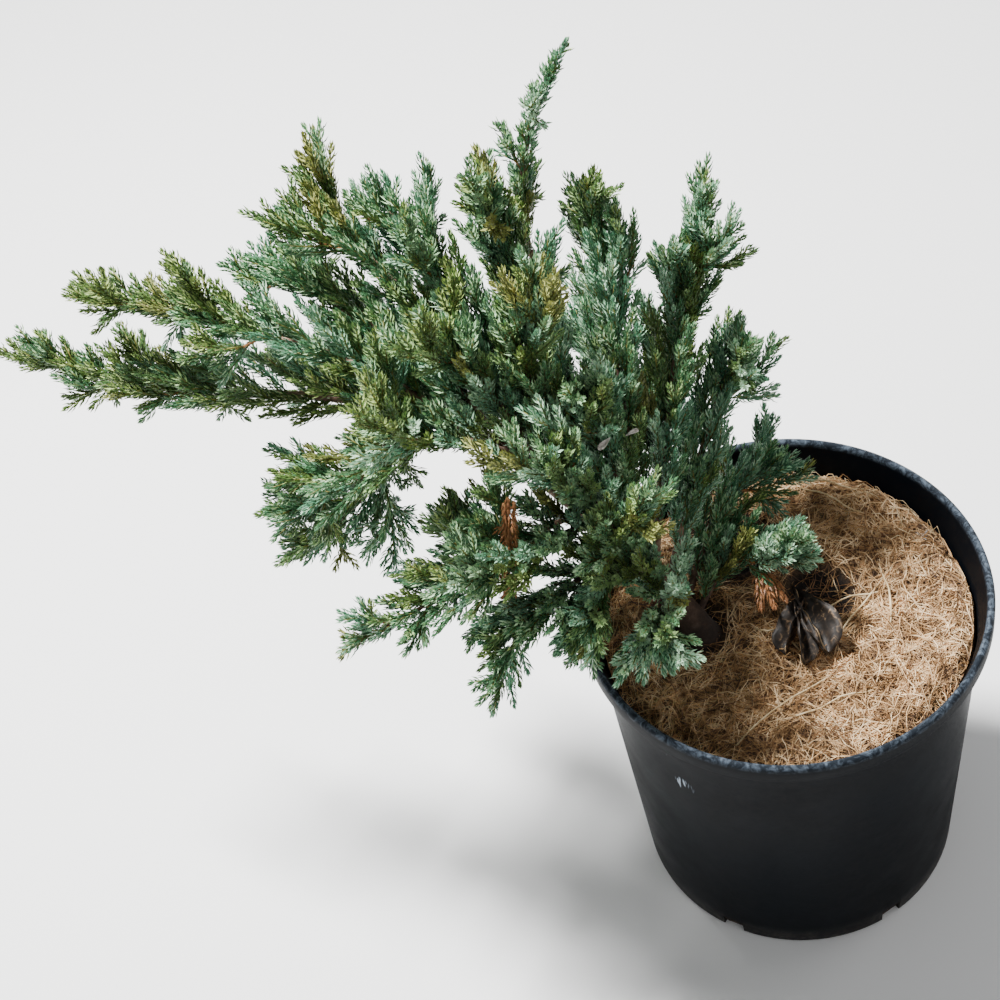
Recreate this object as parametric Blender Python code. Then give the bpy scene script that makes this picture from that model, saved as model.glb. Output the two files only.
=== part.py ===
# A small blue-green juniper in its round nursery pot, in metres, +Z up.
# The origin is the centre of the pot's flat underside, and the photo's camera looks along +Y and down.
import math
import random

import bmesh
import bpy
from mathutils import Matrix, Vector

# The pot: a thin moulded pot with a rolled lip and six drain notches at the foot of its wall.
POT_HEIGHT = 0.225
POT_RIM_RADIUS = 0.115
POT_TOP_RADIUS = 0.1085
POT_FOOT_RADIUS = 0.0955
POT_WALL = 0.0018
POT_FLOOR = 0.0025
LIP_HEIGHT = 0.013
LIP_WIDTH = 0.0045
POT_SECTORS = 36
NOTCHES = 6
NOTCH_FIRST = math.radians(-67.0)
NOTCH_WIDTH = 0.013
NOTCH_HEIGHT = 0.011

# What fills it: a plug of compost with a loose coir mat on top.
GAP = 0.0003
SOIL_TOP = 0.188
COIR_TOP = 0.2015
COIR_RINGS = 5
COIR_SECTORS = 26

# The trunk leans left out of the coir, and everything above it is placed round its foot.
FOOT = Vector((-0.045, 0.0, 0.0))
TRUNK_FOOT_RADIUS = 0.0125
TRUNK_RADIUS = 0.0085
TRUNK_TIP_RADIUS = 0.0046
TRUNK_LEAN = (154.0, 105.0, 338.0)
TRUNK_RISE = 0.045
TRUNK_STEPS = 9
BOUGH_STEPS = 5
BOUGH_SIDES = 5

# Needle sprays: a slim core with whorls of three needles standing out of it.
SPRAY_CORE = 0.0021
SPRAY_REACH = 0.0062
SPRAY_LONG = 0.030
TWIG_ROOT = 0.0011
TWIG_TIP = 0.0006
CLEAR = 0.0006

# Each row is a bough and the foliage it carries.
# name: parent, place along it, bough end (heading, reach, height), rise, root and end radius,
# foliage tip (heading, reach, height), twig length and twig count.
# Headings are degrees round the foot, other sizes are millimetres.
GROWTH = {
    "left_long": ("trunk", 1.00, (155, 238, 355), 8, 4.2, 2.0, (155, 400, 360), 27, 5),
    "left_upper": ("left_long", 0.22, (155, 204, 400), 18, 2.6, 1.6, (152, 349, 400), 27, 4),
    "left_inner": ("trunk", 0.83, (147, 186, 400), 28, 2.8, 1.7, (145, 247, 415), 40, 3),
    "upper_left": ("trunk", 0.745, (142, 160, 410), 24, 2.8, 1.7, (139, 222, 455), 42, 3),
    "upper_mid": ("trunk", 0.69, (139, 133, 410), 22, 2.8, 1.7, (135, 188, 455), 40, 3),
    "top_left": ("trunk", 0.57, (125, 117, 400), 24, 2.8, 1.7, (123, 134, 462), 42, 3),
    "spike": ("trunk", 0.51, (116, 132, 405), 24, 2.8, 1.7, (99, 139, 520), 15, 3),
    "top_right": ("trunk", 0.39, (104, 88, 375), 20, 2.6, 1.6, (100, 136, 425), 36, 3),
    "right_top": ("trunk", 0.33, (84, 82, 340), 20, 2.8, 1.7, (71, 115, 432), 32, 4),
    "right_mid": ("trunk", 0.25, (73, 82, 290), 14, 2.6, 1.6, (61, 100, 330), 34, 3),
    "right_low": ("trunk", 0.17, (64, 62, 245), 10, 2.4, 1.5, (48, 91, 255), 28, 2),
    "pot_right": ("trunk", 0.10, (52, 23, 232), 6, 2.2, 1.4, (4, 62, 238), 26, 3),
    "front_low": ("trunk", 0.21, (-138, 33, 268), 12, 2.4, 1.5, (-124, 62, 262), 30, 2),
    "front_left": ("trunk", 0.44, (-170, 74, 282), 8, 2.4, 1.5, (-168, 122, 264), 38, 4),
    "low_left": ("trunk", 0.66, (178, 117, 290), 6, 2.6, 1.5, (-176, 198, 268), 20, 3),
    "droop": ("left_long", 0.52, (155, 172, 320), 4, 2.4, 1.5, (164, 237, 255), 46, 3),
    "centre_top": ("trunk", 0.625, (151, 81, 390), 16, 2.4, 1.5, (146, 82, 440), 42, 2),
    "centre_left": ("trunk", 0.92, (167, 130, 370), 14, 2.4, 1.5, (165, 153, 409), 42, 2),
    "centre": ("trunk", 0.45, (140, 48, 335), 16, 2.4, 1.5, (151, 42, 400), 42, 2),
    "centre_front": ("trunk", 0.335, (-170, 37, 300), 14, 2.4, 1.5, (-152, 51, 345), 38, 2),
    "centre_low": ("trunk", 0.58, (-172, 88, 316), 10, 2.4, 1.5, (-179, 112, 334), 42, 4),
    "front_mid": ("trunk", 0.27, (-163, 45, 285), 10, 2.4, 1.5, (-155, 86, 266), 38, 3),
    "centre_face": ("trunk", 0.49, (-179, 58, 345), 14, 2.4, 1.5, (-168, 73, 388), 40, 2),
    "centre_high": ("trunk", 0.80, (160, 100, 395), 16, 1.9, 1.5, (159, 116, 432), 40, 2),
    "left_mid": ("left_long", 0.20, (166, 168, 342), 6, 2.4, 1.5, (164, 212, 326), 40, 2),
    "back_low": ("trunk", 0.72, (108, 98, 300), 8, 2.4, 1.5, (108, 168, 322), 46, 2),
    "back_right": ("back_low", 0.40, (100, 78, 296), 4, 2.1, 1.5, (91, 126, 348), 42, 2),
    "back_left": ("left_long", 0.12, (138, 176, 318), 6, 2.4, 1.5, (146, 262, 338), 44, 3),
}


def plant_point(place):
    """A world point from a heading, a reach and a height round the foot."""
    turn = math.radians(place[0])
    reach = place[1] / 1000.0
    return FOOT + Vector((math.cos(turn) * reach, math.sin(turn) * reach, place[2] / 1000.0))


def bend(start, middle, end, count):
    """Points along a smooth bend from start to end."""
    points = []
    for i in range(count + 1):
        t = i / count
        points.append(start * (1 - t) ** 2 + middle * (2 * t * (1 - t)) + end * t ** 2)
    return points


def at_share(points, share):
    """The point and direction at a share of the way along a line of points."""
    place = min(max(share, 0.0), 0.9999) * (len(points) - 1)
    i = int(place)
    step = points[i + 1] - points[i]
    return points[i] + step * (place - i), step.normalized()


def mulch_height(x, y):
    """The height of the coir's uneven top."""
    lift = 0.0045 * math.exp(-((x - 0.055) ** 2 + (y - 0.075) ** 2) / 0.0022)
    lift += 0.0035 * math.exp(-((x + 0.01) ** 2 + (y + 0.075) ** 2) / 0.0018)
    lift -= 0.0060 * math.exp(-((x - 0.030) ** 2 + (y - 0.012) ** 2) / 0.0005)
    lift -= 0.0050 * math.exp(-((x + 0.015) ** 2 + (y - 0.080) ** 2) / 0.0004)
    lift += 0.0016 * math.sin(62.0 * x + 1.3) * math.cos(55.0 * y - 0.4)
    lift += 0.0009 * math.sin(118.0 * x - 97.0 * y)
    return COIR_TOP + lift


def line_distance(point, points):
    """How far a point is from a line of points, and the share along it."""
    best = 1e9
    share = 0.0
    for i in range(len(points) - 1):
        a = points[i]
        step = points[i + 1] - a
        t = (point - a).dot(step) / step.length_squared
        t = min(max(t, 0.0), 1.0)
        gap = (point - a - step * t).length
        if gap < best:
            best = gap
            share = (i + t) / (len(points) - 1)
    return best, share


def pot_clear(point, radius):
    """Whether a ball keeps clear of the pot and of what fills it."""
    out = math.hypot(point.x, point.y)
    if out > POT_RIM_RADIUS + radius + 0.001:
        return True
    if out < POT_RIM_RADIUS - 0.007 - radius:
        return point.z - radius > mulch_height(point.x, point.y) + 0.001
    return point.z - radius > POT_HEIGHT + 0.001


def plan_limbs():
    """The trunk's and each bough's line and radii, and each foliage stem's line."""
    foot = FOOT + Vector((0.0, 0.0, SOIL_TOP + GAP))
    tip = plant_point(TRUNK_LEAN)
    knee = foot.lerp(tip, 0.34) + Vector((0.0, 0.0, TRUNK_RISE))
    line = bend(foot, knee, tip, TRUNK_STEPS)
    radii = []
    for i in range(TRUNK_STEPS + 1):
        t = i / TRUNK_STEPS
        flare = (TRUNK_FOOT_RADIUS - TRUNK_RADIUS) * math.exp(-9.0 * t)
        radii.append(TRUNK_RADIUS + (TRUNK_TIP_RADIUS - TRUNK_RADIUS) * t + flare)
    limbs = {"trunk": (line, radii)}
    stems = {}
    for name, row in GROWTH.items():
        parent, place, end, rise, root_mm, end_mm, tip_place, _, _ = row
        parent_line = limbs[parent][0]
        start, way = at_share(parent_line, place)
        if place >= 1.0:
            start = parent_line[-1] + way * GAP
        finish = plant_point(end)
        middle = start.lerp(finish, 0.45) + Vector((0.0, 0.0, rise / 1000.0))
        if place >= 1.0:
            middle = start + way * (finish - start).length * 0.4
        line = bend(start, middle, finish, BOUGH_STEPS)
        radii = [(root_mm + (end_mm - root_mm) * i / BOUGH_STEPS) / 1000.0 for i in range(BOUGH_STEPS + 1)]
        limbs[name] = (line, radii)
        way = (line[-1] - line[-2]).normalized()
        head = finish + way * GAP
        tip = plant_point(tip_place)
        middle = head + way * (tip - head).length * 0.38
        stems[name] = bend(head, middle, tip, 8)
    return limbs, stems


LIMBS, STEMS = plan_limbs()


def in_own_space(name, point, radius):
    """Whether a ball is in the space of its own mass and clear of limbs, pot and coir."""
    if not pot_clear(point, radius):
        return False
    own, _ = line_distance(point, STEMS[name])
    for other, line in STEMS.items():
        if other == name:
            continue
        gap, _ = line_distance(point, line)
        if gap - own < 2.0 * (radius + CLEAR):
            return False
    for line, radii in LIMBS.values():
        gap, share = line_distance(point, line)
        place = share * (len(radii) - 1)
        i = min(int(place), len(radii) - 2)
        thick = radii[i] + (radii[i + 1] - radii[i]) * (place - i)
        if gap < thick + radius + CLEAR:
            return False
    return True


def side_way(way, turn):
    """A direction square to a limb, turned round it."""
    flat = way.cross(Vector((0.0, 0.0, 1.0)))
    if flat.length < 0.05:
        flat = way.cross(Vector((1.0, 0.0, 0.0)))
    flat.normalize()
    return flat * math.cos(turn) + way.cross(flat).normalized() * math.sin(turn)


def grow(name):
    """The shoots of one mass, from its own seed: each is a bare lead and a spray of needles."""
    rng = random.Random("juniper " + name)
    stem = STEMS[name]
    length = GROWTH[name][7] / 1000.0
    count = GROWTH[name][8]
    shoots = []
    small = min(1.0, max(0.42, length / 0.042))
    turn = rng.uniform(0.0, 6.28)

    def make_spray(root, way, size, lift):
        middle = root + way * size * 0.5
        end = root + way * size + Vector((0.0, 0.0, lift * size))
        line = bend(root, middle, end, 4)
        for share, radius in ((0.3, 0.9), (0.5, 1.0), (0.75, 0.85), (1.0, 0.2)):
            point, _ = at_share(line, share)
            if not in_own_space(name, point, SPRAY_REACH * radius):
                return None
        return line

    for i in range(count):
        share = 0.10 + 0.74 * (i + 0.35) / count
        taper = small * (1.1 - 0.4 * share)
        root, way = at_share(stem, share)
        placed = None
        for attempt in range(7):
            turn += 2.4 if attempt == 0 else 0.9
            angle = math.radians(rng.uniform(40.0, 56.0))
            aim = way * math.cos(angle) + side_way(way, turn) * math.sin(angle)
            size = length * (1.0 - 0.5 * share) * rng.uniform(0.75, 1.1) * (0.93 ** attempt)
            middle = root + aim * size * 0.5
            end = root + (aim * 0.9 + way * 0.15 + Vector((0.0, 0.0, 0.12))) * size
            line = bend(root, middle, end, 4)
            if all(in_own_space(name, line[k], 0.0015) for k in (2, 3, 4)):
                placed = line
                break
        if placed is None:
            continue
        head = None
        for size in (0.040, 0.030, 0.022):
            aim = (placed[4] - placed[3]).normalized()
            head = make_spray(placed[3], aim, size * taper * rng.uniform(0.9, 1.1), 0.10)
            if head:
                break
        side = []
        for k, part in enumerate((0.42, 0.78)):
            base, along = at_share(placed, part)
            for attempt in range(5):
                roll = rng.uniform(0.0, 6.28) if attempt else (1.57 + 3.14 * k + rng.uniform(-0.5, 0.5))
                angle = math.radians(rng.uniform(36.0, 54.0))
                aim = along * math.cos(angle) + side_way(along, roll) * math.sin(angle)
                size = rng.uniform(0.026, 0.038) * taper * (0.9 ** attempt)
                line = make_spray(base, aim.normalized(), size, 0.12)
                if line:
                    side.append(([], line))
                    break
        if head or side:
            shoots.append(([placed[0], placed[2], placed[3]], head))
            shoots.extend(side)
    base = stem[6]
    line = make_spray(base, (stem[-1] - base).normalized(), (stem[-1] - base).length, 0.0)
    if line:
        shoots.append(([], line))
    return shoots


def make_paint(name, shade, rough):
    """A plain coloured material."""
    paint = bpy.data.materials.new(name)
    paint.use_nodes = True
    shader = paint.node_tree.nodes["Principled BSDF"]
    shader.inputs["Base Color"].default_value = (shade[0], shade[1], shade[2], 1.0)
    shader.inputs["Roughness"].default_value = rough
    paint.diffuse_color = (shade[0], shade[1], shade[2], 1.0)
    return paint


def make_object(name, bm, shade, rough, smooth):
    """Turn a mesh into a named object with its own material."""
    bmesh.ops.recalc_face_normals(bm, faces=bm.faces[:])
    mesh = bpy.data.meshes.new(name)
    bm.to_mesh(mesh)
    bm.free()
    for face in mesh.polygons:
        face.use_smooth = smooth
    body = bpy.data.objects.new(name, mesh)
    bpy.context.scene.collection.objects.link(body)
    if shade is not None:
        mesh.materials.append(make_paint(name + "_paint", shade, rough))
    return body


def add_tube(bm, line, radii, sides, first_turn=0.0, first_way=None):
    """A closed tapering tube along a line of points, its first end square to a given way."""
    way = first_way or (line[1] - line[0]).normalized()
    across = side_way(way, first_turn)
    rings = []
    for i, point in enumerate(line):
        ahead = line[min(i + 1, len(line) - 1)] - line[max(i - 1, 0)]
        way = first_way if first_way and i == 0 else ahead.normalized()
        across = (across - way * across.dot(way)).normalized()
        up = way.cross(across)
        ring = []
        for k in range(sides):
            turn = 2.0 * math.pi * k / sides
            ring.append(bm.verts.new(point + (across * math.cos(turn) + up * math.sin(turn)) * radii[i]))
        rings.append(ring)
    for low, high in zip(rings[:-1], rings[1:]):
        for k in range(sides):
            bm.faces.new((low[k], low[(k + 1) % sides], high[(k + 1) % sides], high[k]))
    bm.faces.new(list(reversed(rings[0])))
    bm.faces.new(rings[-1])
    return rings


def apply_boolean(body, operation, solver, other=None, group=None):
    """Join or cut a body for good."""
    tool = body.modifiers.new("shape", "BOOLEAN")
    tool.operation = operation
    tool.solver = solver
    if group is not None:
        tool.operand_type = "COLLECTION"
        tool.collection = group
    else:
        tool.object = other
    bpy.context.view_layer.objects.active = body
    for thing in bpy.context.view_layer.objects:
        thing.select_set(thing == body)
    bpy.ops.object.modifier_apply(modifier=tool.name)


def drop(body):
    """Remove a helper object with its mesh."""
    mesh = body.data
    bpy.data.objects.remove(body, do_unlink=True)
    bpy.data.meshes.remove(mesh)


def keep_largest(body):
    """Fill sealed hollows and drop loose scraps by keeping the largest outer shell."""
    bm = bmesh.new()
    bm.from_mesh(body.data)
    bmesh.ops.remove_doubles(bm, verts=bm.verts[:], dist=0.000005)
    bmesh.ops.dissolve_degenerate(bm, edges=bm.edges[:], dist=0.000003)
    seen = set()
    shells = []
    for face in bm.faces:
        if face in seen:
            continue
        shell = []
        stack = [face]
        seen.add(face)
        while stack:
            item = stack.pop()
            shell.append(item)
            for edge in item.edges:
                for near in edge.link_faces:
                    if near not in seen:
                        seen.add(near)
                        stack.append(near)
        shells.append(shell)
    shells.sort(key=lambda shell: -len(shell))
    for shell in shells[1:]:
        bmesh.ops.delete(bm, geom=shell, context="FACES")
    bmesh.ops.triangulate(bm, faces=bm.faces[:])
    bm.to_mesh(body.data)
    bm.free()


def make_pot():
    """The pot, as one turned wall with a rolled lip, and its drain notches cut out."""
    lip_low = POT_HEIGHT - LIP_HEIGHT
    rim = POT_RIM_RADIUS
    profile = [
        (POT_FOOT_RADIUS - 0.0015, 0.0),
        (POT_FOOT_RADIUS, 0.0015),
        (POT_TOP_RADIUS, lip_low),
        (rim - 0.0008, lip_low + 0.0006),
        (rim, lip_low + 0.0040),
        (rim, POT_HEIGHT - 0.0022),
        (rim - 0.0012, POT_HEIGHT - 0.0004),
        (rim - 0.0024, POT_HEIGHT),
        (rim - 0.0036, POT_HEIGHT - 0.0006),
        (rim - LIP_WIDTH, POT_HEIGHT - 0.0030),
        (POT_TOP_RADIUS - POT_WALL, lip_low - 0.0030),
        (POT_FOOT_RADIUS - POT_WALL, POT_FLOOR),
    ]
    bm = bmesh.new()
    rings = []
    for radius, height in profile:
        ring = []
        for k in range(POT_SECTORS):
            turn = 2.0 * math.pi * k / POT_SECTORS
            ring.append(bm.verts.new((radius * math.cos(turn), radius * math.sin(turn), height)))
        rings.append(ring)
    for low, high in zip(rings[:-1], rings[1:]):
        for k in range(POT_SECTORS):
            after = (k + 1) % POT_SECTORS
            bm.faces.new((low[k], low[after], high[after], high[k]))
    bm.faces.new(list(reversed(rings[0])))
    bm.faces.new(rings[-1])
    pot = make_object("pot", bm, (0.016, 0.017, 0.019), 0.45, True)
    bm = bmesh.new()
    for k in range(NOTCHES):
        turn = NOTCH_FIRST + 2.0 * math.pi * k / NOTCHES
        place = Matrix.Rotation(turn, 4, "Z") @ Matrix.Translation((POT_FOOT_RADIUS, 0.0, NOTCH_HEIGHT / 2 - 0.002))
        size = Matrix.Diagonal((0.016, NOTCH_WIDTH, NOTCH_HEIGHT + 0.004, 1.0))
        bmesh.ops.create_cube(bm, size=1.0, matrix=place @ size)
    cutter = make_object("notch_cutter", bm, None, 0.0, False)
    cutter.hide_render = True
    cutter.display_type = "WIRE"
    apply_boolean(pot, "DIFFERENCE", "EXACT", other=cutter)
    drop(cutter)
    return pot


def wall_inside(height):
    """The pot's inner radius at a height."""
    share = (height - POT_FLOOR) / (POT_HEIGHT - LIP_HEIGHT - 0.003 - POT_FLOOR)
    foot = POT_FOOT_RADIUS - POT_WALL
    return foot + (POT_TOP_RADIUS - POT_WALL - foot) * share


def make_root_ball():
    """The plug of compost, a gap clear of the pot all round."""
    bm = bmesh.new()
    flat = math.cos(math.pi / POT_SECTORS)
    base = POT_FLOOR + GAP
    line = [Vector((0.0, 0.0, base)), Vector((0.0, 0.0, SOIL_TOP))]
    rings = []
    for point in line:
        radius = (wall_inside(point.z) * flat - GAP) / flat
        ring = []
        for k in range(POT_SECTORS):
            turn = 2.0 * math.pi * k / POT_SECTORS
            ring.append(bm.verts.new((radius * math.cos(turn), radius * math.sin(turn), point.z)))
        rings.append(ring)
    for k in range(POT_SECTORS):
        after = (k + 1) % POT_SECTORS
        bm.faces.new((rings[0][k], rings[0][after], rings[1][after], rings[1][k]))
    bm.faces.new(list(reversed(rings[0])))
    bm.faces.new(rings[1])
    return make_object("root_ball", bm, (0.035, 0.022, 0.013), 0.95, False)


def make_coir(hole_line, hole_radii):
    """The loose coir mat, uneven on top, with a hole for the trunk's foot."""
    bm = bmesh.new()
    base = SOIL_TOP + GAP
    flat = math.cos(math.pi / COIR_SECTORS)
    edge = (wall_inside(base) * math.cos(math.pi / POT_SECTORS) - GAP) * 0.998
    rings = []
    for i in range(1, COIR_RINGS + 1):
        radius = edge * i / COIR_RINGS
        ring = []
        for k in range(COIR_SECTORS):
            turn = 2.0 * math.pi * k / COIR_SECTORS
            x = radius * math.cos(turn)
            y = radius * math.sin(turn)
            height = mulch_height(x, y)
            if i == COIR_RINGS:
                height -= 0.0035
            ring.append(bm.verts.new((x, y, height)))
        rings.append(ring)
    middle = bm.verts.new((0.0, 0.0, mulch_height(0.0, 0.0)))
    for k in range(COIR_SECTORS):
        after = (k + 1) % COIR_SECTORS
        bm.faces.new((middle, rings[0][k], rings[0][after]))
        for low, high in zip(rings[:-1], rings[1:]):
            bm.faces.new((low[k], high[k], high[after]))
            bm.faces.new((low[k], high[after], low[after]))
    floor = []
    for k in range(COIR_SECTORS):
        turn = 2.0 * math.pi * k / COIR_SECTORS
        floor.append(bm.verts.new((edge * math.cos(turn), edge * math.sin(turn), base)))
    for k in range(COIR_SECTORS):
        after = (k + 1) % COIR_SECTORS
        bm.faces.new((rings[-1][k], floor[k], floor[after], rings[-1][after]))
    bm.faces.new(list(reversed(floor)))
    coir = make_object("coir_mat", bm, (0.34, 0.22, 0.12), 0.95, False)
    bm = bmesh.new()
    below = [hole_line[0] - Vector((0.0, 0.0, 0.004))] + hole_line[:4]
    wide = [hole_radii[0] + GAP] + [radius + GAP for radius in hole_radii[:4]]
    add_tube(bm, below, wide, 12)
    cutter = make_object("coir_cutter", bm, None, 0.0, False)
    cutter.hide_render = True
    cutter.display_type = "WIRE"
    apply_boolean(coir, "DIFFERENCE", "EXACT", other=cutter)
    drop(cutter)
    return coir


def make_trunk():
    """The trunk, flat cut at the soil, with its root flare, taper and lean."""
    line, radii = LIMBS["trunk"]
    bm = bmesh.new()
    rings = add_tube(bm, line, radii, 12)
    for vert in rings[0]:
        vert.co.z = line[0].z
    return make_object("trunk", bm, (0.20, 0.15, 0.12), 0.85, True)


def make_bough(name):
    """One tapering limb, cut a gap clear of the limb it leaves."""
    line, radii = LIMBS[name]
    parent, place = GROWTH[name][:2]
    first = at_share(LIMBS[parent][0], place)[1] if place >= 1.0 else None
    bm = bmesh.new()
    add_tube(bm, line, radii, BOUGH_SIDES, 0.0, first)
    bough = make_object("bough_" + name, bm, (0.22, 0.15, 0.11), 0.85, True)
    if place >= 1.0:
        return bough
    parent_line, parent_radii = LIMBS[parent]
    bm = bmesh.new()
    add_tube(bm, parent_line, [radius + GAP for radius in parent_radii], 12 if parent == "trunk" else BOUGH_SIDES)
    cutter = make_object("joint_cutter", bm, None, 0.0, False)
    cutter.hide_render = True
    cutter.display_type = "WIRE"
    apply_boolean(bough, "DIFFERENCE", "EXACT", other=cutter)
    drop(cutter)
    keep_largest(bough)
    return bough


def add_shoot(bm, lead, line, turn):
    """A closed three-sided shoot: a bare twig, then a core with whorls of needles standing out."""
    places = []
    for i, point in enumerate(lead):
        ahead = (lead[min(i + 1, len(lead) - 1)] - lead[max(i - 1, 0)]).normalized()
        places.append((point, ahead, TWIG_ROOT + (TWIG_TIP - TWIG_ROOT) * i / 2))
    bare = len(places)
    steps = 0
    if line:
        length = sum((b - a).length for a, b in zip(line[:-1], line[1:]))
        steps = 3 if lead and length > SPRAY_LONG else 2
        for i in range(steps + 1):
            point, way = at_share(line, 0.14 + 0.66 * i / steps)
            places.append((point, way, SPRAY_CORE * (1.0 - 0.35 * i / steps)))
    across = side_way(places[0][1], turn)
    rings = []
    frames = []
    for point, way, radius in places:
        across = (across - way * across.dot(way)).normalized()
        up = way.cross(across)
        ring = []
        for k in range(3):
            angle = 2.0 * math.pi * k / 3
            ring.append(bm.verts.new(point + (across * math.cos(angle) + up * math.sin(angle)) * radius))
        rings.append(ring)
        frames.append((point, way, across.copy(), up))
    if lead:
        bm.faces.new(list(reversed(rings[0])))
    else:
        root = bm.verts.new(line[0] - places[0][1] * 0.0007)
        for k in range(3):
            bm.faces.new((root, rings[0][(k + 1) % 3], rings[0][k]))
    for i in range(len(rings) - 1):
        toothed = i >= bare
        point, way, side, up = frames[i]
        step = (frames[i + 1][0] - point).length
        taper = 1.0 - 0.25 * (i - bare) / max(1, steps - 1)
        for k in range(3):
            after = (k + 1) % 3
            corners = (rings[i][k], rings[i][after], rings[i + 1][after], rings[i + 1][k])
            if not toothed:
                bm.faces.new(corners)
                continue
            angle = 2.0 * math.pi * (k + 0.5) / 3
            out = side * math.cos(angle) + up * math.sin(angle)
            tip = bm.verts.new(point + way * step * 1.05 + out * SPRAY_REACH * taper)
            for j in range(4):
                bm.faces.new((corners[j], corners[(j + 1) % 4], tip))
    if line:
        end = bm.verts.new(line[-1])
        for k in range(3):
            bm.faces.new((rings[-1][k], rings[-1][(k + 1) % 3], end))
    else:
        bm.faces.new(rings[-1])


def make_mass(name):
    """One foliage mass: its stem, twigs and sprays joined into one solid."""
    stem = STEMS[name]
    line, radii = LIMBS[name]
    start = radii[-1]
    first = (line[-1] - line[-2]).normalized()
    bm = bmesh.new()
    keep = [stem[0], stem[3], stem[6], stem[7].lerp(stem[8], 0.6)]
    add_tube(bm, keep, [start, start * 0.8, start * 0.55, 0.0008], BOUGH_SIDES, 0.0, first)
    mass = make_object("foliage_" + name, bm, (0.16, 0.31, 0.24), 0.7, False)
    group = bpy.data.collections.new("join_" + name)
    bpy.context.scene.collection.children.link(group)
    pieces = []
    for i, (lead, line) in enumerate(grow(name)):
        bm = bmesh.new()
        add_shoot(bm, lead, line, 0.7 * i)
        pieces.append(make_object("shoot_%s_%d" % (name, i), bm, None, 0.0, False))
    for piece in pieces:
        bpy.context.scene.collection.objects.unlink(piece)
        group.objects.link(piece)
    apply_boolean(mass, "UNION", "EXACT", group=group)
    for piece in pieces:
        drop(piece)
    bpy.data.collections.remove(group)
    keep_largest(mass)
    return mass


for old in list(bpy.data.objects):
    bpy.data.objects.remove(old, do_unlink=True)

make_pot()
make_root_ball()
make_coir(*LIMBS["trunk"])
make_trunk()
for limb in GROWTH:
    make_bough(limb)
for mass_name in GROWTH:
    make_mass(mass_name)
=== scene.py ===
import math
import random

import bmesh
import bpy
import numpy as np
from mathutils import Matrix, Vector, noise


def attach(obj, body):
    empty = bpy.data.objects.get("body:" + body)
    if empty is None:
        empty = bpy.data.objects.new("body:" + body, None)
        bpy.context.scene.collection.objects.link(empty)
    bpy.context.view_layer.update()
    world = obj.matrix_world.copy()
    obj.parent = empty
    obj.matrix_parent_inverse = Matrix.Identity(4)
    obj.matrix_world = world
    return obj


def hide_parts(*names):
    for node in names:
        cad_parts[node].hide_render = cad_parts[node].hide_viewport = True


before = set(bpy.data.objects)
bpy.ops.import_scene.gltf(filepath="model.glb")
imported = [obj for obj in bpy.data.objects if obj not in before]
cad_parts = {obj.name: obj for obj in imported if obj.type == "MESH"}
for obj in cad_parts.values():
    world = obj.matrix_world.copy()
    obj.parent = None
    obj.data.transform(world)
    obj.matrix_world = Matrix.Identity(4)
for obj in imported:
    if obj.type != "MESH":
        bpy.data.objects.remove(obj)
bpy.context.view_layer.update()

# The pot, the compost and the coir, in metres, as the solids have them.
POT_HEIGHT = 0.225
POT_RIM_RADIUS = 0.115
POT_TOP_RADIUS = 0.1085
POT_FOOT_RADIUS = 0.0955
POT_WALL = 0.0018
POT_FLOOR = 0.0025
LIP_HEIGHT = 0.013
LIP_WIDTH = 0.0045
NOTCHES = 6
NOTCH_FIRST = math.radians(-67.0)
NOTCH_WIDTH = 0.013
NOTCH_HEIGHT = 0.011
GAP = 0.0003
SOIL_TOP = 0.188
COIR_TOP = 0.2015
FOOT = Vector((-0.045, 0.0, 0.0))
TRUNK_FOOT_RADIUS = 0.0125
TRUNK_RADIUS = 0.0085
TRUNK_TIP_RADIUS = 0.0046
TRUNK_LEAN = (154.0, 105.0, 338.0)
TRUNK_RISE = 0.045
TRUNK_STEPS = 9
BOUGH_STEPS = 5
SPRAY_REACH = 0.0062
CLEAR = 0.0006
MERGE_GAP = 0.00001

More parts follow.
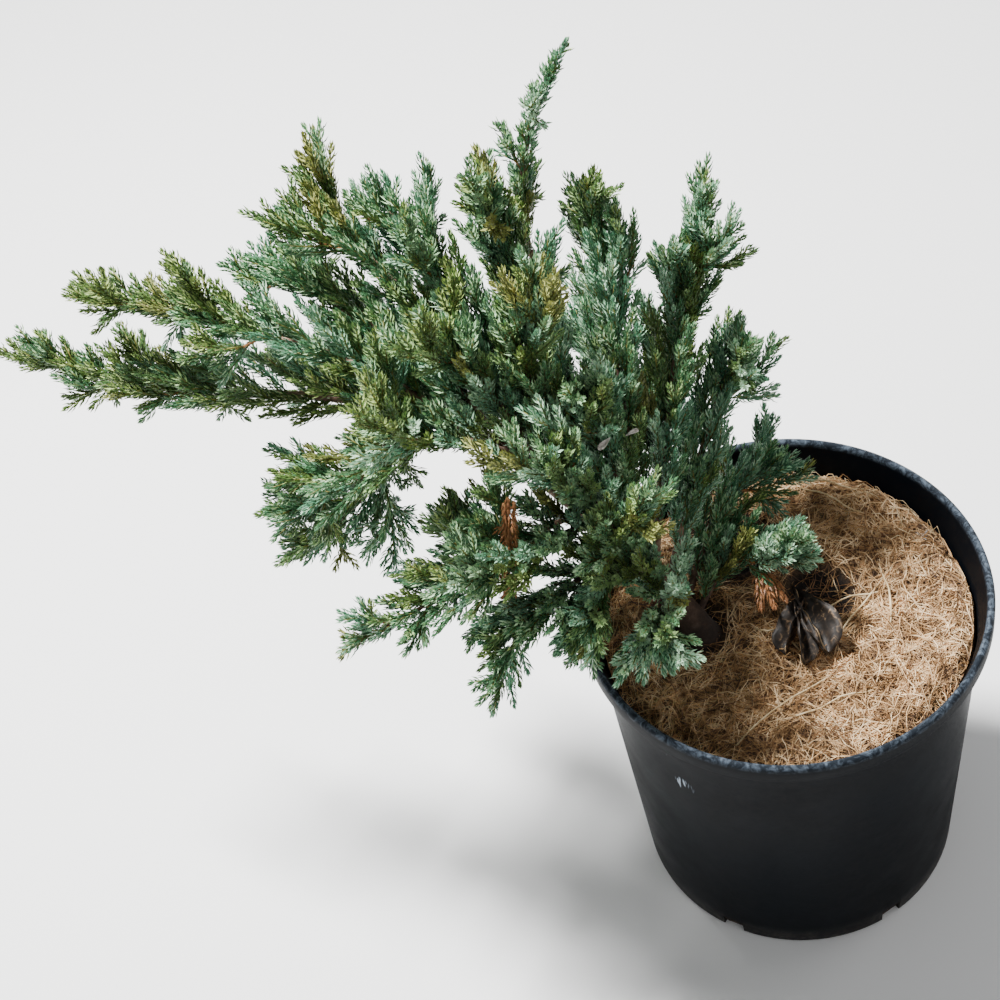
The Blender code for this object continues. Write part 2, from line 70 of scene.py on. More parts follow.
# Each row is a bough and the foliage it carries.
# name: parent, place along it, bough end (heading, reach, height), rise, root and end radius,
# foliage tip (heading, reach, height), twig length and twig count.
# Headings are degrees round the foot, other sizes are millimetres.
GROWTH = {
    "left_long": ("trunk", 1.00, (155, 238, 355), 8, 4.2, 2.0, (155, 400, 360), 27, 5),
    "left_upper": ("left_long", 0.22, (155, 204, 400), 18, 2.6, 1.6, (152, 349, 400), 27, 4),
    "left_inner": ("trunk", 0.83, (147, 186, 400), 28, 2.8, 1.7, (145, 247, 415), 40, 3),
    "upper_left": ("trunk", 0.745, (142, 160, 410), 24, 2.8, 1.7, (139, 222, 455), 42, 3),
    "upper_mid": ("trunk", 0.69, (139, 133, 410), 22, 2.8, 1.7, (135, 188, 455), 40, 3),
    "top_left": ("trunk", 0.57, (125, 117, 400), 24, 2.8, 1.7, (123, 134, 462), 42, 3),
    "spike": ("trunk", 0.51, (116, 132, 405), 24, 2.8, 1.7, (99, 139, 520), 15, 3),
    "top_right": ("trunk", 0.39, (104, 88, 375), 20, 2.6, 1.6, (100, 136, 425), 36, 3),
    "right_top": ("trunk", 0.33, (84, 82, 340), 20, 2.8, 1.7, (71, 115, 432), 32, 4),
    "right_mid": ("trunk", 0.25, (73, 82, 290), 14, 2.6, 1.6, (61, 100, 330), 34, 3),
    "right_low": ("trunk", 0.17, (64, 62, 245), 10, 2.4, 1.5, (48, 91, 255), 28, 2),
    "pot_right": ("trunk", 0.10, (52, 23, 232), 6, 2.2, 1.4, (4, 62, 238), 26, 3),
    "front_low": ("trunk", 0.21, (-138, 33, 268), 12, 2.4, 1.5, (-124, 62, 262), 30, 2),
    "front_left": ("trunk", 0.44, (-170, 74, 282), 8, 2.4, 1.5, (-168, 122, 264), 38, 4),
    "low_left": ("trunk", 0.66, (178, 117, 290), 6, 2.6, 1.5, (-176, 198, 268), 20, 3),
    "droop": ("left_long", 0.52, (155, 172, 320), 4, 2.4, 1.5, (164, 237, 255), 46, 3),
    "centre_top": ("trunk", 0.625, (151, 81, 390), 16, 2.4, 1.5, (146, 82, 440), 42, 2),
    "centre_left": ("trunk", 0.92, (167, 130, 370), 14, 2.4, 1.5, (165, 153, 409), 42, 2),
    "centre": ("trunk", 0.45, (140, 48, 335), 16, 2.4, 1.5, (151, 42, 400), 42, 2),
    "centre_front": ("trunk", 0.335, (-170, 37, 300), 14, 2.4, 1.5, (-152, 51, 345), 38, 2),
    "centre_low": ("trunk", 0.58, (-172, 88, 316), 10, 2.4, 1.5, (-179, 112, 334), 42, 4),
    "front_mid": ("trunk", 0.27, (-163, 45, 285), 10, 2.4, 1.5, (-155, 86, 266), 38, 3),
    "centre_face": ("trunk", 0.49, (-179, 58, 345), 14, 2.4, 1.5, (-168, 73, 388), 40, 2),
    "centre_high": ("trunk", 0.80, (160, 100, 395), 16, 1.9, 1.5, (159, 116, 432), 40, 2),
    "left_mid": ("left_long", 0.20, (166, 168, 342), 6, 2.4, 1.5, (164, 212, 326), 40, 2),
    "back_low": ("trunk", 0.72, (108, 98, 300), 8, 2.4, 1.5, (108, 168, 322), 46, 2),
    "back_right": ("back_low", 0.40, (100, 78, 296), 4, 2.1, 1.5, (91, 126, 348), 42, 2),
    "back_left": ("left_long", 0.12, (138, 176, 318), 6, 2.4, 1.5, (146, 262, 338), 44, 3),
}


def plant_point(place):
    """A world point from a heading, a reach and a height round the foot."""
    turn = math.radians(place[0])
    reach = place[1] / 1000.0
    return FOOT + Vector((math.cos(turn) * reach, math.sin(turn) * reach, place[2] / 1000.0))


def bend(start, middle, end, count):
    """Points along a smooth bend from start to end."""
    points = []
    for i in range(count + 1):
        t = i / count
        points.append(start * (1 - t) ** 2 + middle * (2 * t * (1 - t)) + end * t ** 2)
    return points


def at_share(points, share):
    """The point and direction at a share of the way along a line of points."""
    place = min(max(share, 0.0), 0.9999) * (len(points) - 1)
    i = int(place)
    step = points[i + 1] - points[i]
    return points[i] + step * (place - i), step.normalized()


# The coir's broad lumps and hollows: rise, place x and y, and spread, in metres and square metres.
COIR_LUMPS = (
    (0.0045, 0.055, 0.075, 0.0022),
    (0.0035, -0.01, -0.075, 0.0018),
    (-0.0060, 0.030, 0.012, 0.0005),
    (-0.0050, -0.015, 0.080, 0.0004),
)


def mulch_height(x, y):
    """The height of the coir's uneven top."""
    lift = 0.0
    for rise, lump_x, lump_y, spread in COIR_LUMPS:
        lift += rise * math.exp(-((x - lump_x) ** 2 + (y - lump_y) ** 2) / spread)
    lift += 0.0016 * math.sin(62.0 * x + 1.3) * math.cos(55.0 * y - 0.4)
    lift += 0.0009 * math.sin(118.0 * x - 97.0 * y)
    return COIR_TOP + lift


def line_distance(point, points):
    """How far a point is from a line of points, and the share along it."""
    best = 1e9
    share = 0.0
    for i in range(len(points) - 1):
        a = points[i]
        step = points[i + 1] - a
        t = (point - a).dot(step) / step.length_squared
        t = min(max(t, 0.0), 1.0)
        gap = (point - a - step * t).length
        if gap < best:
            best = gap
            share = (i + t) / (len(points) - 1)
    return best, share


def pot_clear(point, radius):
    """Whether a ball keeps clear of the pot and of what fills it."""
    out = math.hypot(point.x, point.y)
    if out > POT_RIM_RADIUS + radius + 0.001:
        return True
    if out < POT_RIM_RADIUS - 0.007 - radius:
        return point.z - radius > mulch_height(point.x, point.y) + 0.001
    return point.z - radius > POT_HEIGHT + 0.001


def plan_limbs():
    """The trunk's and each bough's line and radii, and each foliage stem's line."""
    foot = FOOT + Vector((0.0, 0.0, SOIL_TOP + GAP))
    tip = plant_point(TRUNK_LEAN)
    knee = foot.lerp(tip, 0.34) + Vector((0.0, 0.0, TRUNK_RISE))
    line = bend(foot, knee, tip, TRUNK_STEPS)
    radii = []
    for i in range(TRUNK_STEPS + 1):
        t = i / TRUNK_STEPS
        flare = (TRUNK_FOOT_RADIUS - TRUNK_RADIUS) * math.exp(-9.0 * t)
        radii.append(TRUNK_RADIUS + (TRUNK_TIP_RADIUS - TRUNK_RADIUS) * t + flare)
    limbs = {"trunk": (line, radii)}
    stems = {}
    for name, row in GROWTH.items():
        parent, place, end, rise, root_mm, end_mm, tip_place, _, _ = row
        parent_line = limbs[parent][0]
        start, way = at_share(parent_line, place)
        if place >= 1.0:
            start = parent_line[-1] + way * GAP
        finish = plant_point(end)
        middle = start.lerp(finish, 0.45) + Vector((0.0, 0.0, rise / 1000.0))
        if place >= 1.0:
            middle = start + way * (finish - start).length * 0.4
        line = bend(start, middle, finish, BOUGH_STEPS)
        radii = []
        for i in range(BOUGH_STEPS + 1):
            radii.append((root_mm + (end_mm - root_mm) * i / BOUGH_STEPS) / 1000.0)
        limbs[name] = (line, radii)
        way = (line[-1] - line[-2]).normalized()
        head = finish + way * GAP
        tip = plant_point(tip_place)
        middle = head + way * (tip - head).length * 0.38
        stems[name] = bend(head, middle, tip, 8)
    return limbs, stems


LIMBS, STEMS = plan_limbs()


def in_own_space(name, point, radius):
    """Whether a ball is in the space of its own mass and clear of limbs, pot and coir."""
    if not pot_clear(point, radius):
        return False
    own, _ = line_distance(point, STEMS[name])
    for other, line in STEMS.items():
        if other == name:
            continue
        gap, _ = line_distance(point, line)
        if gap - own < 2.0 * (radius + CLEAR):
            return False
    for line, radii in LIMBS.values():
        gap, share = line_distance(point, line)
        place = share * (len(radii) - 1)
        i = min(int(place), len(radii) - 2)
        thick = radii[i] + (radii[i + 1] - radii[i]) * (place - i)
        if gap < thick + radius + CLEAR:
            return False
    return True


def side_way(way, turn):
    """A direction square to a limb, turned round it."""
    flat = way.cross(Vector((0.0, 0.0, 1.0)))
    if flat.length < 0.05:
        flat = way.cross(Vector((1.0, 0.0, 0.0)))
    flat.normalize()
    return flat * math.cos(turn) + way.cross(flat).normalized() * math.sin(turn)


def grow(name):
    """The shoots of one mass, from its own seed: each is a bare lead and a spray of needles."""
    rng = random.Random("juniper " + name)
    stem = STEMS[name]
    length = GROWTH[name][7] / 1000.0
    count = GROWTH[name][8]
    shoots = []
    small = min(1.0, max(0.42, length / 0.042))
    turn = rng.uniform(0.0, 6.28)

    def make_spray(root, way, size, lift):
        middle = root + way * size * 0.5
        end = root + way * size + Vector((0.0, 0.0, lift * size))
        line = bend(root, middle, end, 4)
        for share, radius in ((0.3, 0.9), (0.5, 1.0), (0.75, 0.85), (1.0, 0.2)):
            point, _ = at_share(line, share)
            if not in_own_space(name, point, SPRAY_REACH * radius):
                return None
        return line

    for i in range(count):
        share = 0.10 + 0.74 * (i + 0.35) / count
        taper = small * (1.1 - 0.4 * share)
        root, way = at_share(stem, share)
        placed = None
        for attempt in range(7):
            turn += 2.4 if attempt == 0 else 0.9
            angle = math.radians(rng.uniform(40.0, 56.0))
            aim = way * math.cos(angle) + side_way(way, turn) * math.sin(angle)
            size = length * (1.0 - 0.5 * share) * rng.uniform(0.75, 1.1) * (0.93 ** attempt)
            middle = root + aim * size * 0.5
            end = root + (aim * 0.9 + way * 0.15 + Vector((0.0, 0.0, 0.12))) * size
            line = bend(root, middle, end, 4)
            if all(in_own_space(name, line[k], 0.0015) for k in (2, 3, 4)):
                placed = line
                break
        if placed is None:
            continue
        head = None
        for size in (0.040, 0.030, 0.022):
            aim = (placed[4] - placed[3]).normalized()
            head = make_spray(placed[3], aim, size * taper * rng.uniform(0.9, 1.1), 0.10)
            if head:
                break
        side = []
        for k, part in enumerate((0.42, 0.78)):
            base, along = at_share(placed, part)
            for attempt in range(5):
                roll = rng.uniform(0.0, 6.28) if attempt else (1.57 + 3.14 * k + rng.uniform(-0.5, 0.5))
                angle = math.radians(rng.uniform(36.0, 54.0))
                aim = along * math.cos(angle) + side_way(along, roll) * math.sin(angle)
                size = rng.uniform(0.026, 0.038) * taper * (0.9 ** attempt)
                line = make_spray(base, aim.normalized(), size, 0.12)
                if line:
                    side.append(([], line))
                    break
        if head or side:
            shoots.append(([placed[0], placed[2], placed[3]], head))
            shoots.extend(side)
    base = stem[6]
    line = make_spray(base, (stem[-1] - base).normalized(), (stem[-1] - base).length, 0.0)
    if line:
        shoots.append(([], line))
    return shoots


def linear(code):
    """An sRGB hex colour as linear red, green, blue and alpha."""
    parts = [int(code[i:i + 2], 16) / 255.0 for i in (1, 3, 5)]
    parts = [c / 12.92 if c <= 0.04045 else ((c + 0.055) / 1.055) ** 2.4 for c in parts]
    return parts[0], parts[1], parts[2], 1.0


def feed(item, inputs):
    """Sets a node's inputs, by name or in order, and links those given as a socket."""
    if not isinstance(inputs, dict):
        inputs = dict(enumerate(inputs))
    for key, value in inputs.items():
        if isinstance(value, bpy.types.NodeSocket):
            item.id_data.links.new(value, item.inputs[key])
        else:
            item.inputs[key].default_value = value


def add_node(tree, kind, inputs, out=0, stops=(), **settings):
    """Adds a node with its settings, inputs and ramp stops, and gives one of its outputs."""
    item = tree.nodes.new("ShaderNode" + kind)
    for key, value in settings.items():
        setattr(item, key, value)
    feed(item, inputs)
    if stops:
        points = item.color_ramp.elements
        while len(points) < len(stops):
            points.new(0.5)
        for point, (place, code) in zip(points, stops):
            point.position = place
            point.color = linear(code)
    return item.outputs[out]


def start_material(name, code, roughness):
    """A Principled material with a plain colour, with its tree and shader."""
    paint = bpy.data.materials.new(name)
    paint.use_nodes = True
    shader = paint.node_tree.nodes["Principled BSDF"]
    feed(shader, {"Base Color": linear(code), "Roughness": roughness})
    return paint, paint.node_tree, shader


def cells(size):
    """A pattern's scale, from the real size of one of its marks in millimetres."""
    return 1000.0 / size


def mottled(name, code, roughness, noise_inputs, stops, relief=None):
    """A material whose colour changes with one pattern, with an optional relief of a strength and depth."""
    paint, tree, shader = start_material(name, code, roughness)
    place = add_node(tree, "TexCoord", (), "Object")
    marks = add_node(tree, "TexNoise", {"Vector": place, **noise_inputs})
    feed(shader, {"Base Color": add_node(tree, "ValToRGB", (marks,), stops=stops)})
    if relief:
        strength, depth = relief
        bump = add_node(tree, "Bump", {"Height": marks, "Strength": strength, "Distance": depth})
        feed(shader, {"Normal": bump})
    return paint


def array_mesh(name, points, triangles, paints, paint_index=None, smooth=False):
    """One object from arrays of points and triangles."""
    points = np.asarray(points, dtype=np.float32)
    triangles = np.asarray(triangles, dtype=np.int32)
    mesh = bpy.data.meshes.new(name)
    mesh.vertices.add(len(points))
    mesh.vertices.foreach_set("co", points.ravel())
    mesh.loops.add(triangles.size)
    mesh.loops.foreach_set("vertex_index", triangles.ravel())
    mesh.polygons.add(len(triangles))
    mesh.polygons.foreach_set("loop_start", np.arange(0, triangles.size, 3, dtype=np.int32))
    mesh.polygons.foreach_set("use_smooth", np.full(len(triangles), smooth))
    for paint in paints:
        mesh.materials.append(paint)
    if paint_index is not None:
        mesh.polygons.foreach_set("material_index", np.asarray(paint_index, dtype=np.int32))
    mesh.update(calc_edges=True)
    body = bpy.data.objects.new(name, mesh)
    bpy.context.scene.collection.objects.link(body)
    return body


def bmesh_object(name, bm, paint, smooth=True):
    """One object from a bmesh, its faces turned outwards."""
    bmesh.ops.recalc_face_normals(bm, faces=bm.faces[:])
    mesh = bpy.data.meshes.new(name)
    bm.to_mesh(mesh)
    bm.free()
    mesh.polygons.foreach_set("use_smooth", np.full(len(mesh.polygons), smooth))
    mesh.materials.append(paint)
    body = bpy.data.objects.new(name, mesh)
    bpy.context.scene.collection.objects.link(body)
    return body


def spin_profile(bm, profile, steps):
    """A closed body of revolution from its radii and heights, around the pot's axis."""
    verts = [bm.verts.new((radius, 0.0, height)) for radius, height in profile]
    edges = [bm.edges.new(pair) for pair in zip(verts[:-1], verts[1:])]
    bmesh.ops.spin(
        bm, geom=verts + edges, cent=(0, 0, 0), axis=(0, 0, 1),
        angle=2 * math.pi, steps=steps, use_merge=True,
    )
    bmesh.ops.remove_doubles(bm, verts=bm.verts[:], dist=MERGE_GAP)


def settle(body, slot, *nodes):
    """Rides on the one body and hides the solids that it stands for; its slot is not used."""
    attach(body, "root")
    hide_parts(*nodes)


class TubeStore:
    """Tapering tubes collected into one mesh."""

    def __init__(self):
        self.points = []
        self.triangles = []
        self.count = 0

    def add(self, line, radii, sides, relief=None):
        """A closed tube along a line, with an optional push of each point."""
        line = np.array([tuple(point) for point in line])
        ways = np.gradient(line, axis=0)
        ways /= np.linalg.norm(ways, axis=1)[:, None]
        start = np.cross(ways[0], (0.0, 0.0, 1.0))
        if np.linalg.norm(start) < 0.05:
            start = np.cross(ways[0], (1.0, 0.0, 0.0))
        across = start / np.linalg.norm(start)
        turns = 2.0 * np.pi * np.arange(sides) / sides
        rings = []
        travelled = 0.0
        for i, (point, way, radius) in enumerate(zip(line, ways, radii)):
            across = across - way * across.dot(way)
            across /= np.linalg.norm(across)
            up = np.cross(way, across)
            if i:
                travelled += np.linalg.norm(line[i] - line[i - 1])
            push = np.ones(sides) if relief is None else relief(turns, travelled)
            ring = np.outer(np.cos(turns) * push, across) + np.outer(np.sin(turns) * push, up)
            rings.append(point + ring * radius)
        total = len(rings)
        points = np.concatenate(rings + [line[:1], line[-1:]])
        k = np.arange(sides)
        after = (k + 1) % sides
        faces = []
        for i in range(total - 1):
            low = i * sides
            high = low + sides
            faces.append(np.stack([low + k, low + after, high + after], axis=1))
            faces.append(np.stack([low + k, high + after, high + k], axis=1))
        faces.append(np.stack([np.full(sides, total * sides), after, k], axis=1))
        top = (total - 1) * sides
        faces.append(np.stack([np.full(sides, total * sides + 1), top + k, top + after], axis=1))
        self.points.append(points)
        self.triangles.append(np.concatenate(faces) + self.count)
        self.count += len(points)

    def build(self, name, paints, smooth=True):
        """The object of all the tubes so far."""
        points = np.concatenate(self.points)
        return array_mesh(name, points, np.concatenate(self.triangles), paints, smooth=smooth)


# Needle sizes: about 7 mm long and 1.5 mm wide, in whorls of three every 1.7 mm, curved in towards the shoot.
# They stand off the shoot by an angle in degrees, with some scatter, which closes over the shoot's last part.
NEEDLE_LENGTH = 0.0070
NEEDLE_WIDTH = 0.00150
NEEDLE_BELLY = 0.50
NEEDLE_KEEL = 0.40
NEEDLE_HOOK = 0.13
NEEDLE_ANGLE = 33.0
NEEDLE_CLOSING = 17.0
NEEDLE_SCATTER = 6.0
WHORL_STEP = 0.00168
THIRD_TURN = 2.0944
TIP_START = 0.72
TIP_SHARE = 0.28
SHOOT_RADIUS = 0.00050


class NeedleStore:
    """Needles of one colour: each has a pale upper face and a greener keeled back."""

    def __init__(self):
        self.parts = []

    def build(self, name, paints):
        """The object of all the needles so far, five points and six faces each."""
        base, way, up, length, width = [np.concatenate(part) for part in zip(*self.parts)]
        across = np.cross(way, up)
        belly = base + way * length * NEEDLE_BELLY
        points = np.stack([
            base,
            belly + across * width * 0.5,
            base + way * length + up * length * NEEDLE_HOOK,
            belly - across * width * 0.5,
            belly - up * width * NEEDLE_KEEL,
        ], axis=1).reshape(-1, 3)
        faces = np.array([(0, 1, 3), (1, 2, 3), (0, 4, 1), (1, 4, 2), (2, 4, 3), (3, 4, 0)])
        start = np.arange(len(base))[:, None, None] * 5
        triangles = (start + faces[None]).reshape(-1, 3)
        upper_then_back = np.tile(np.array([0, 0, 1, 1, 1, 1]), len(base))
        return array_mesh(name, points, triangles, paints, upper_then_back)


def line_length(points):
    """The length of a line of points."""
    return sum((b - a).length for a, b in zip(points[:-1], points[1:]))


def resample(line, count):
    """Evenly spaced points along a line of points, the directions there and the line's length."""
    points = np.array([tuple(point) for point in line])
    steps = np.linalg.norm(np.diff(points, axis=0), axis=1)
    along = np.concatenate([[0.0], np.cumsum(steps)])
    wanted = np.linspace(0.0, along[-1], count)
    spots = np.stack([np.interp(wanted, along, points[:, i]) for i in range(3)], axis=1)
    ways = np.gradient(spots, axis=0)
    ways /= np.linalg.norm(ways, axis=1)[:, None]
    return spots, ways, along[-1]


def clothe(store, line, rng, size=1.0, first=0.06, closed_tip=True):
    """Whorls of three needles along a shoot, opener and longer at its middle than at its tip."""
    count = max(4, int(line_length(line) / WHORL_STEP))
    spots, ways = resample(line, count)[:2]
    share = np.linspace(0.0, 1.0, count)
    keep = share >= first
    spots, ways, share = spots[keep], ways[keep], share[keep]
    count = len(share)
    helper = np.where(np.abs(ways[:, 2:3]) < 0.9, np.array([[0.0, 0.0, 1.0]]), np.array([[1.0, 0.0, 0.0]]))
    side = np.cross(ways, helper)
    side /= np.linalg.norm(side, axis=1)[:, None]
    top = np.cross(ways, side)
    fade = np.clip((share - TIP_START) / TIP_SHARE, 0.0, 1.0) if closed_tip else np.zeros(count)
    first_turn = rng.uniform(0.0, 6.28)
    for k in range(3):
        turn = first_turn + np.arange(count) * (np.pi / 3.0) + k * THIRD_TURN + rng.normal(0.0, 0.16, count)
        out = side * np.cos(turn)[:, None] + top * np.sin(turn)[:, None]
        angle = np.radians(NEEDLE_ANGLE - NEEDLE_CLOSING * fade + rng.normal(0.0, NEEDLE_SCATTER, count))
        way = ways * np.cos(angle)[:, None] + out * np.sin(angle)[:, None]
        up = ways * np.sin(angle)[:, None] - out * np.cos(angle)[:, None]
        length = NEEDLE_LENGTH * size * (1.0 - 0.42 * fade) * rng.uniform(0.78, 1.12, count)
        length *= np.clip(0.62 + share * 2.2, 0.0, 1.0)
        width = NEEDLE_WIDTH * rng.uniform(0.85, 1.15, count) * (0.75 + 0.25 * size)
        base = spots + out * SHOOT_RADIUS * 0.6
        store.parts.append((base, way, up, length[:, None], width[:, None]))


# A dead twig hangs in the crown's left front and a dead spray lies low, and no finer shoot grows over them.
DEAD_LOW = (Vector((-0.010, 0.008, 0.2360)), Vector((-0.008, -0.008, 0.2310)))
DEAD_TWIG = (
    Vector((-0.1385, -0.0060, 0.3560)),
    Vector((-0.1425, -0.0150, 0.3300)),
    Vector((-0.1475, -0.0200, 0.3020)),
)

# The room that a finer shoot keeps: round itself, to the pot and the coir, and to the dead pieces, in metres.
SHOOT_ROOM = 0.0022
POT_ROOM = 0.005
DEAD_LOW_ROOM = 0.0080
DEAD_TWIG_ROOM = 0.0085


def reach_clear(name, point):
    """Whether a finer shoot's point stays in its mass's reach, if it has one, and clear of all else."""
    for dead_line, room in ((DEAD_TWIG, DEAD_TWIG_ROOM), (DEAD_LOW, DEAD_LOW_ROOM)):
        if line_distance(point, dead_line)[0] < room:
            return False
    if not pot_clear(point, POT_ROOM):
        return False
    if name:
        own = line_distance(point, STEMS[name])[0]
        for other, line in STEMS.items():
            if other != name and line_distance(point, line)[0] - own < 2.0 * SHOOT_ROOM:
                return False
    for line, radii in LIMBS.values():
        gap, share = line_distance(point, line)
        if gap < radii[int(share * (len(radii) - 1))] + SHOOT_ROOM:
            return False
    return True


# How finer shoots stand off a line: their turn round it, their angle in degrees and how much they turn up.
SHOOT_TURN = 2.4
SHOOT_ANGLES = (22.0, 40.0)
SHOOT_UPTURN = 0.32
SHOOT_TRIES = 3

# Rules for finer shoots: spacing, the shares of the line where they start and end, longest and shortest.
OFF_LEAD = (0.0034, 0.10, 0.98, 0.024, 0.018)
OFF_SPRAY = (0.0038, 0.08, 0.84, 0.020, 0.008)
OFF_TIP_SPRAY = (0.0038, 0.08, 0.84, 0.010, 0.008)
OFF_FINE = (0.0058, 0.22, 0.80, 0.013, 0.008)
OFF_BOUGH_FINE = (0.0058, 0.22, 0.80, 0.015, 0.009)
OFF_DEAD = (0.0060, 0.10, 0.95, 0.008, 0.005)
# A stem's and a bough's shoots are as long as their mass's reach.
STEM_SPREAD = (0.0032, 0.02, 0.90)
STEM_SHORTEST = 0.009
BOUGH_SPREAD = (0.0038, 0.20, 1.00)


def side_shoots(name, line, rng, rule, scale=1.0, dead=False):
    """Finer shoots off both sides of a line, shorter towards its tip."""
    step, first, last, longest, shortest = rule
    longest *= scale
    shortest *= scale
    count = max(1, int(line_length(line) * (last - first) / step))
    turn = rng.uniform(0.0, 6.28)
    made = []
    for i in range(count):
        share = first + (last - first) * (i + rng.uniform(0.2, 0.8)) / count
        base, way = at_share(line, share)
        for attempt in range(SHOOT_TRIES):
            turn += SHOOT_TURN + rng.uniform(-0.35, 0.35)
            angle = math.radians(rng.uniform(*SHOOT_ANGLES))
            aim = way * math.cos(angle) + side_way(way, turn) * math.sin(angle)
            aim = (aim + Vector((0.0, 0.0, SHOOT_UPTURN))).normalized()
            size = (longest + (shortest - longest) * share) * rng.uniform(0.72, 1.15) * (0.88 ** attempt)
            end = base + aim * size + Vector((0.0, 0.0, 0.10 * size)) + way * size * 0.20
            if dead or (reach_clear(name, base + aim * size * 0.6) and reach_clear(name, end)):
                made.append(bend(base, base + aim * size * 0.5, end, 3))
                break
    return made


# The needle colours, palest first: the upper face with its wax, then the keeled back.
NEEDLE_COLOURS = {
    "silver": ("#b7d5b5", "#5f886a"),
    "blue": ("#a0c7a6", "#406e51"),
    "mist": ("#a8c79b", "#437048"),
    "teal": ("#98bc8d", "#345d3b"),
    "green": ("#98b577", "#3a5a2d"),
    "leaf": ("#9cb168", "#415b25"),
    "olive": ("#a8ac64", "#59622d"),
    "rust": ("#d79f70", "#a06a42"),
}

# A spray's colour goes by a value that changes in patches: above a limit it takes that colour, else leaf.
COLOUR_LIMITS = ((0.46, "silver"), (0.22, "blue"), (-0.01, "mist"), (-0.24, "teal"), (-0.52, "green"))
COLOUR_SCATTER = 0.34
# The patches' scale in patches a metre: broad ones, small ones, and the yellow spots with their olive sprays.
BROAD_PATCHES = 19.0
SMALL_PATCHES = 46.0
YELLOW_PATCHES = 26.0
OLIVE_SHARE = 0.34


def pick_colour(point, rng):
    """A colour for one spray: patches over the crown with some scatter, paler low down, and paler on the
    right with painted shade on the crown's left.
    """
    patch = noise.noise(point * BROAD_PATCHES)
    patch += 0.55 * noise.noise(point * SMALL_PATCHES + Vector((7.0, 3.0, 1.0)))
    low = (0.31 - point.z) * 1.6
    # Sprays towards the left take darker colours: painted shade on the crown's left side.
    right = max(-0.3, (point.x + 0.14) * 1.3)
    value = patch * 0.9 + rng.normal(0.0, COLOUR_SCATTER) + low + right
    yellow = noise.noise(point * YELLOW_PATCHES + Vector((2.0, 9.0, 4.0)))
    if yellow > 0.30 and rng.uniform(0.0, 1.0) < OLIVE_SHARE:
        return "olive"
    for limit, name in COLOUR_LIMITS:
        if value > limit:
            return name
    return "leaf"


needle_stores = {name: NeedleStore() for name in NEEDLE_COLOURS}
young_twigs = TubeStore()
brown_twigs = TubeStore()


def add_shoot(line, rng, size=1.0, first=0.06, colour=None):
    """One shoot: its needles and its thin green stem."""
    colour = colour or pick_colour(line[len(line) // 2], rng)
    clothe(needle_stores[colour], line, rng, size, first)
    spots = resample(line, 3)[0]
    young_twigs.add(spots, [SHOOT_RADIUS * 1.3, SHOOT_RADIUS, SHOOT_RADIUS * 0.4], 4)
    return colour


# How far finer shoots reach from a stem or bough, in metres: further at the crown's dense front.
PLAIN_REACH = 0.036
FULL_REACH = 0.047
FULL_MASSES = ("front_left", "front_mid", "front_low", "low_left", "centre_low", "left_long")
SPIKE_THINNING = 0.45
# Masses with twigs under this length, in millimetres, have shorter shoots.
FULL_TWIG = 30.0
# A lead's radius at its foot and tip, and how small the needles are on side shoots and on the finest ones,
# which have no needles on a first share of their length.
LEAD_RADII = (0.0012, 0.0006)
SIDE_SIZE = 0.92
FINEST_SIZE = 0.88
BARE_FOOT = 0.10


def dress_mass(name):
    """All the shoots of one mass, grown by the same rule as its solid and then finer."""
    rng = np.random.default_rng(sum(ord(letter) * (i + 7) for i, letter in enumerate(name)))
    slim = min(1.0, GROWTH[name][7] / FULL_TWIG)
    tip = STEMS[name][-1]
    for lead, line in grow(name):
        if lead:
            brown_twigs.add(resample(lead, 5)[0], np.linspace(*LEAD_RADII, 5), 6)
            for fine in side_shoots(name, lead, rng, OFF_LEAD, slim):
                add_shoot(fine, rng)
        if line:
            colour = add_shoot(line, rng)
            rule = OFF_TIP_SPRAY if (line[-1] - tip).length < 0.001 else OFF_SPRAY
            for fine in side_shoots(name, line, rng, rule, slim):
                add_shoot(fine, rng, SIDE_SIZE, BARE_FOOT, colour if rng.uniform(0.0, 1.0) < 0.6 else None)
    reach = FULL_REACH if name in FULL_MASSES else PLAIN_REACH
    bough_reach = reach * (SPIKE_THINNING if name == "spike" else 1.0)
    for space, line, rule, finer_rule, scale in (
        (name, STEMS[name], (*STEM_SPREAD, reach, STEM_SHORTEST), OFF_FINE, slim),
        (None, LIMBS[name][0], (*BOUGH_SPREAD, bough_reach, bough_reach * 0.9), OFF_BOUGH_FINE, 1.0),
    ):
        for fine in side_shoots(space, line, rng, rule, scale):
            colour = add_shoot(fine, rng)
            for finer in side_shoots(space, fine, rng, finer_rule, scale):
                add_shoot(finer, rng, FINEST_SIZE, BARE_FOOT, colour)


for mass_name in GROWTH:
    dress_mass(mass_name)

# Dead foliage: a crumbly twig that hangs in the crown's front, and a rusty spray low by the pot's middle.
# The twig has three strands, each with its sideways shift and the size of its needles.
DEAD_STRANDS = ((0.0, 0.85), (0.0026, 0.6), (-0.0024, 0.7))
DEAD_STRAND_RADII = (0.0009, 0.0009, 0.0008, 0.0007, 0.0005)
DEAD_STUB_SIZE = 0.6
DEAD_SPRAYS = (
    ((-0.011, 0.014, 0.2350), (-0.009, 0.003, 0.2330), (-0.008, -0.009, 0.2280)),
    ((-0.012, 0.013, 0.2350), (-0.013, 0.002, 0.2325), (-0.015, -0.008, 0.2270)),
    ((-0.010, 0.013, 0.2350), (-0.005, 0.004, 0.2330), (-0.001, -0.006, 0.2280)),
)
dead_rng = np.random.default_rng(17)
for shift, size in DEAD_STRANDS:
    hanging = [point + Vector((shift, -abs(shift) * 0.5, -abs(shift))) for point in DEAD_TWIG]
    clothe(needle_stores["rust"], hanging, dead_rng, size, 0.0, False)
    brown_twigs.add(resample(hanging, 5)[0], DEAD_STRAND_RADII, 6)
for stub in side_shoots(None, DEAD_TWIG, dead_rng, OFF_DEAD, dead=True):
    clothe(needle_stores["rust"], stub, dead_rng, DEAD_STUB_SIZE, 0.0, False)
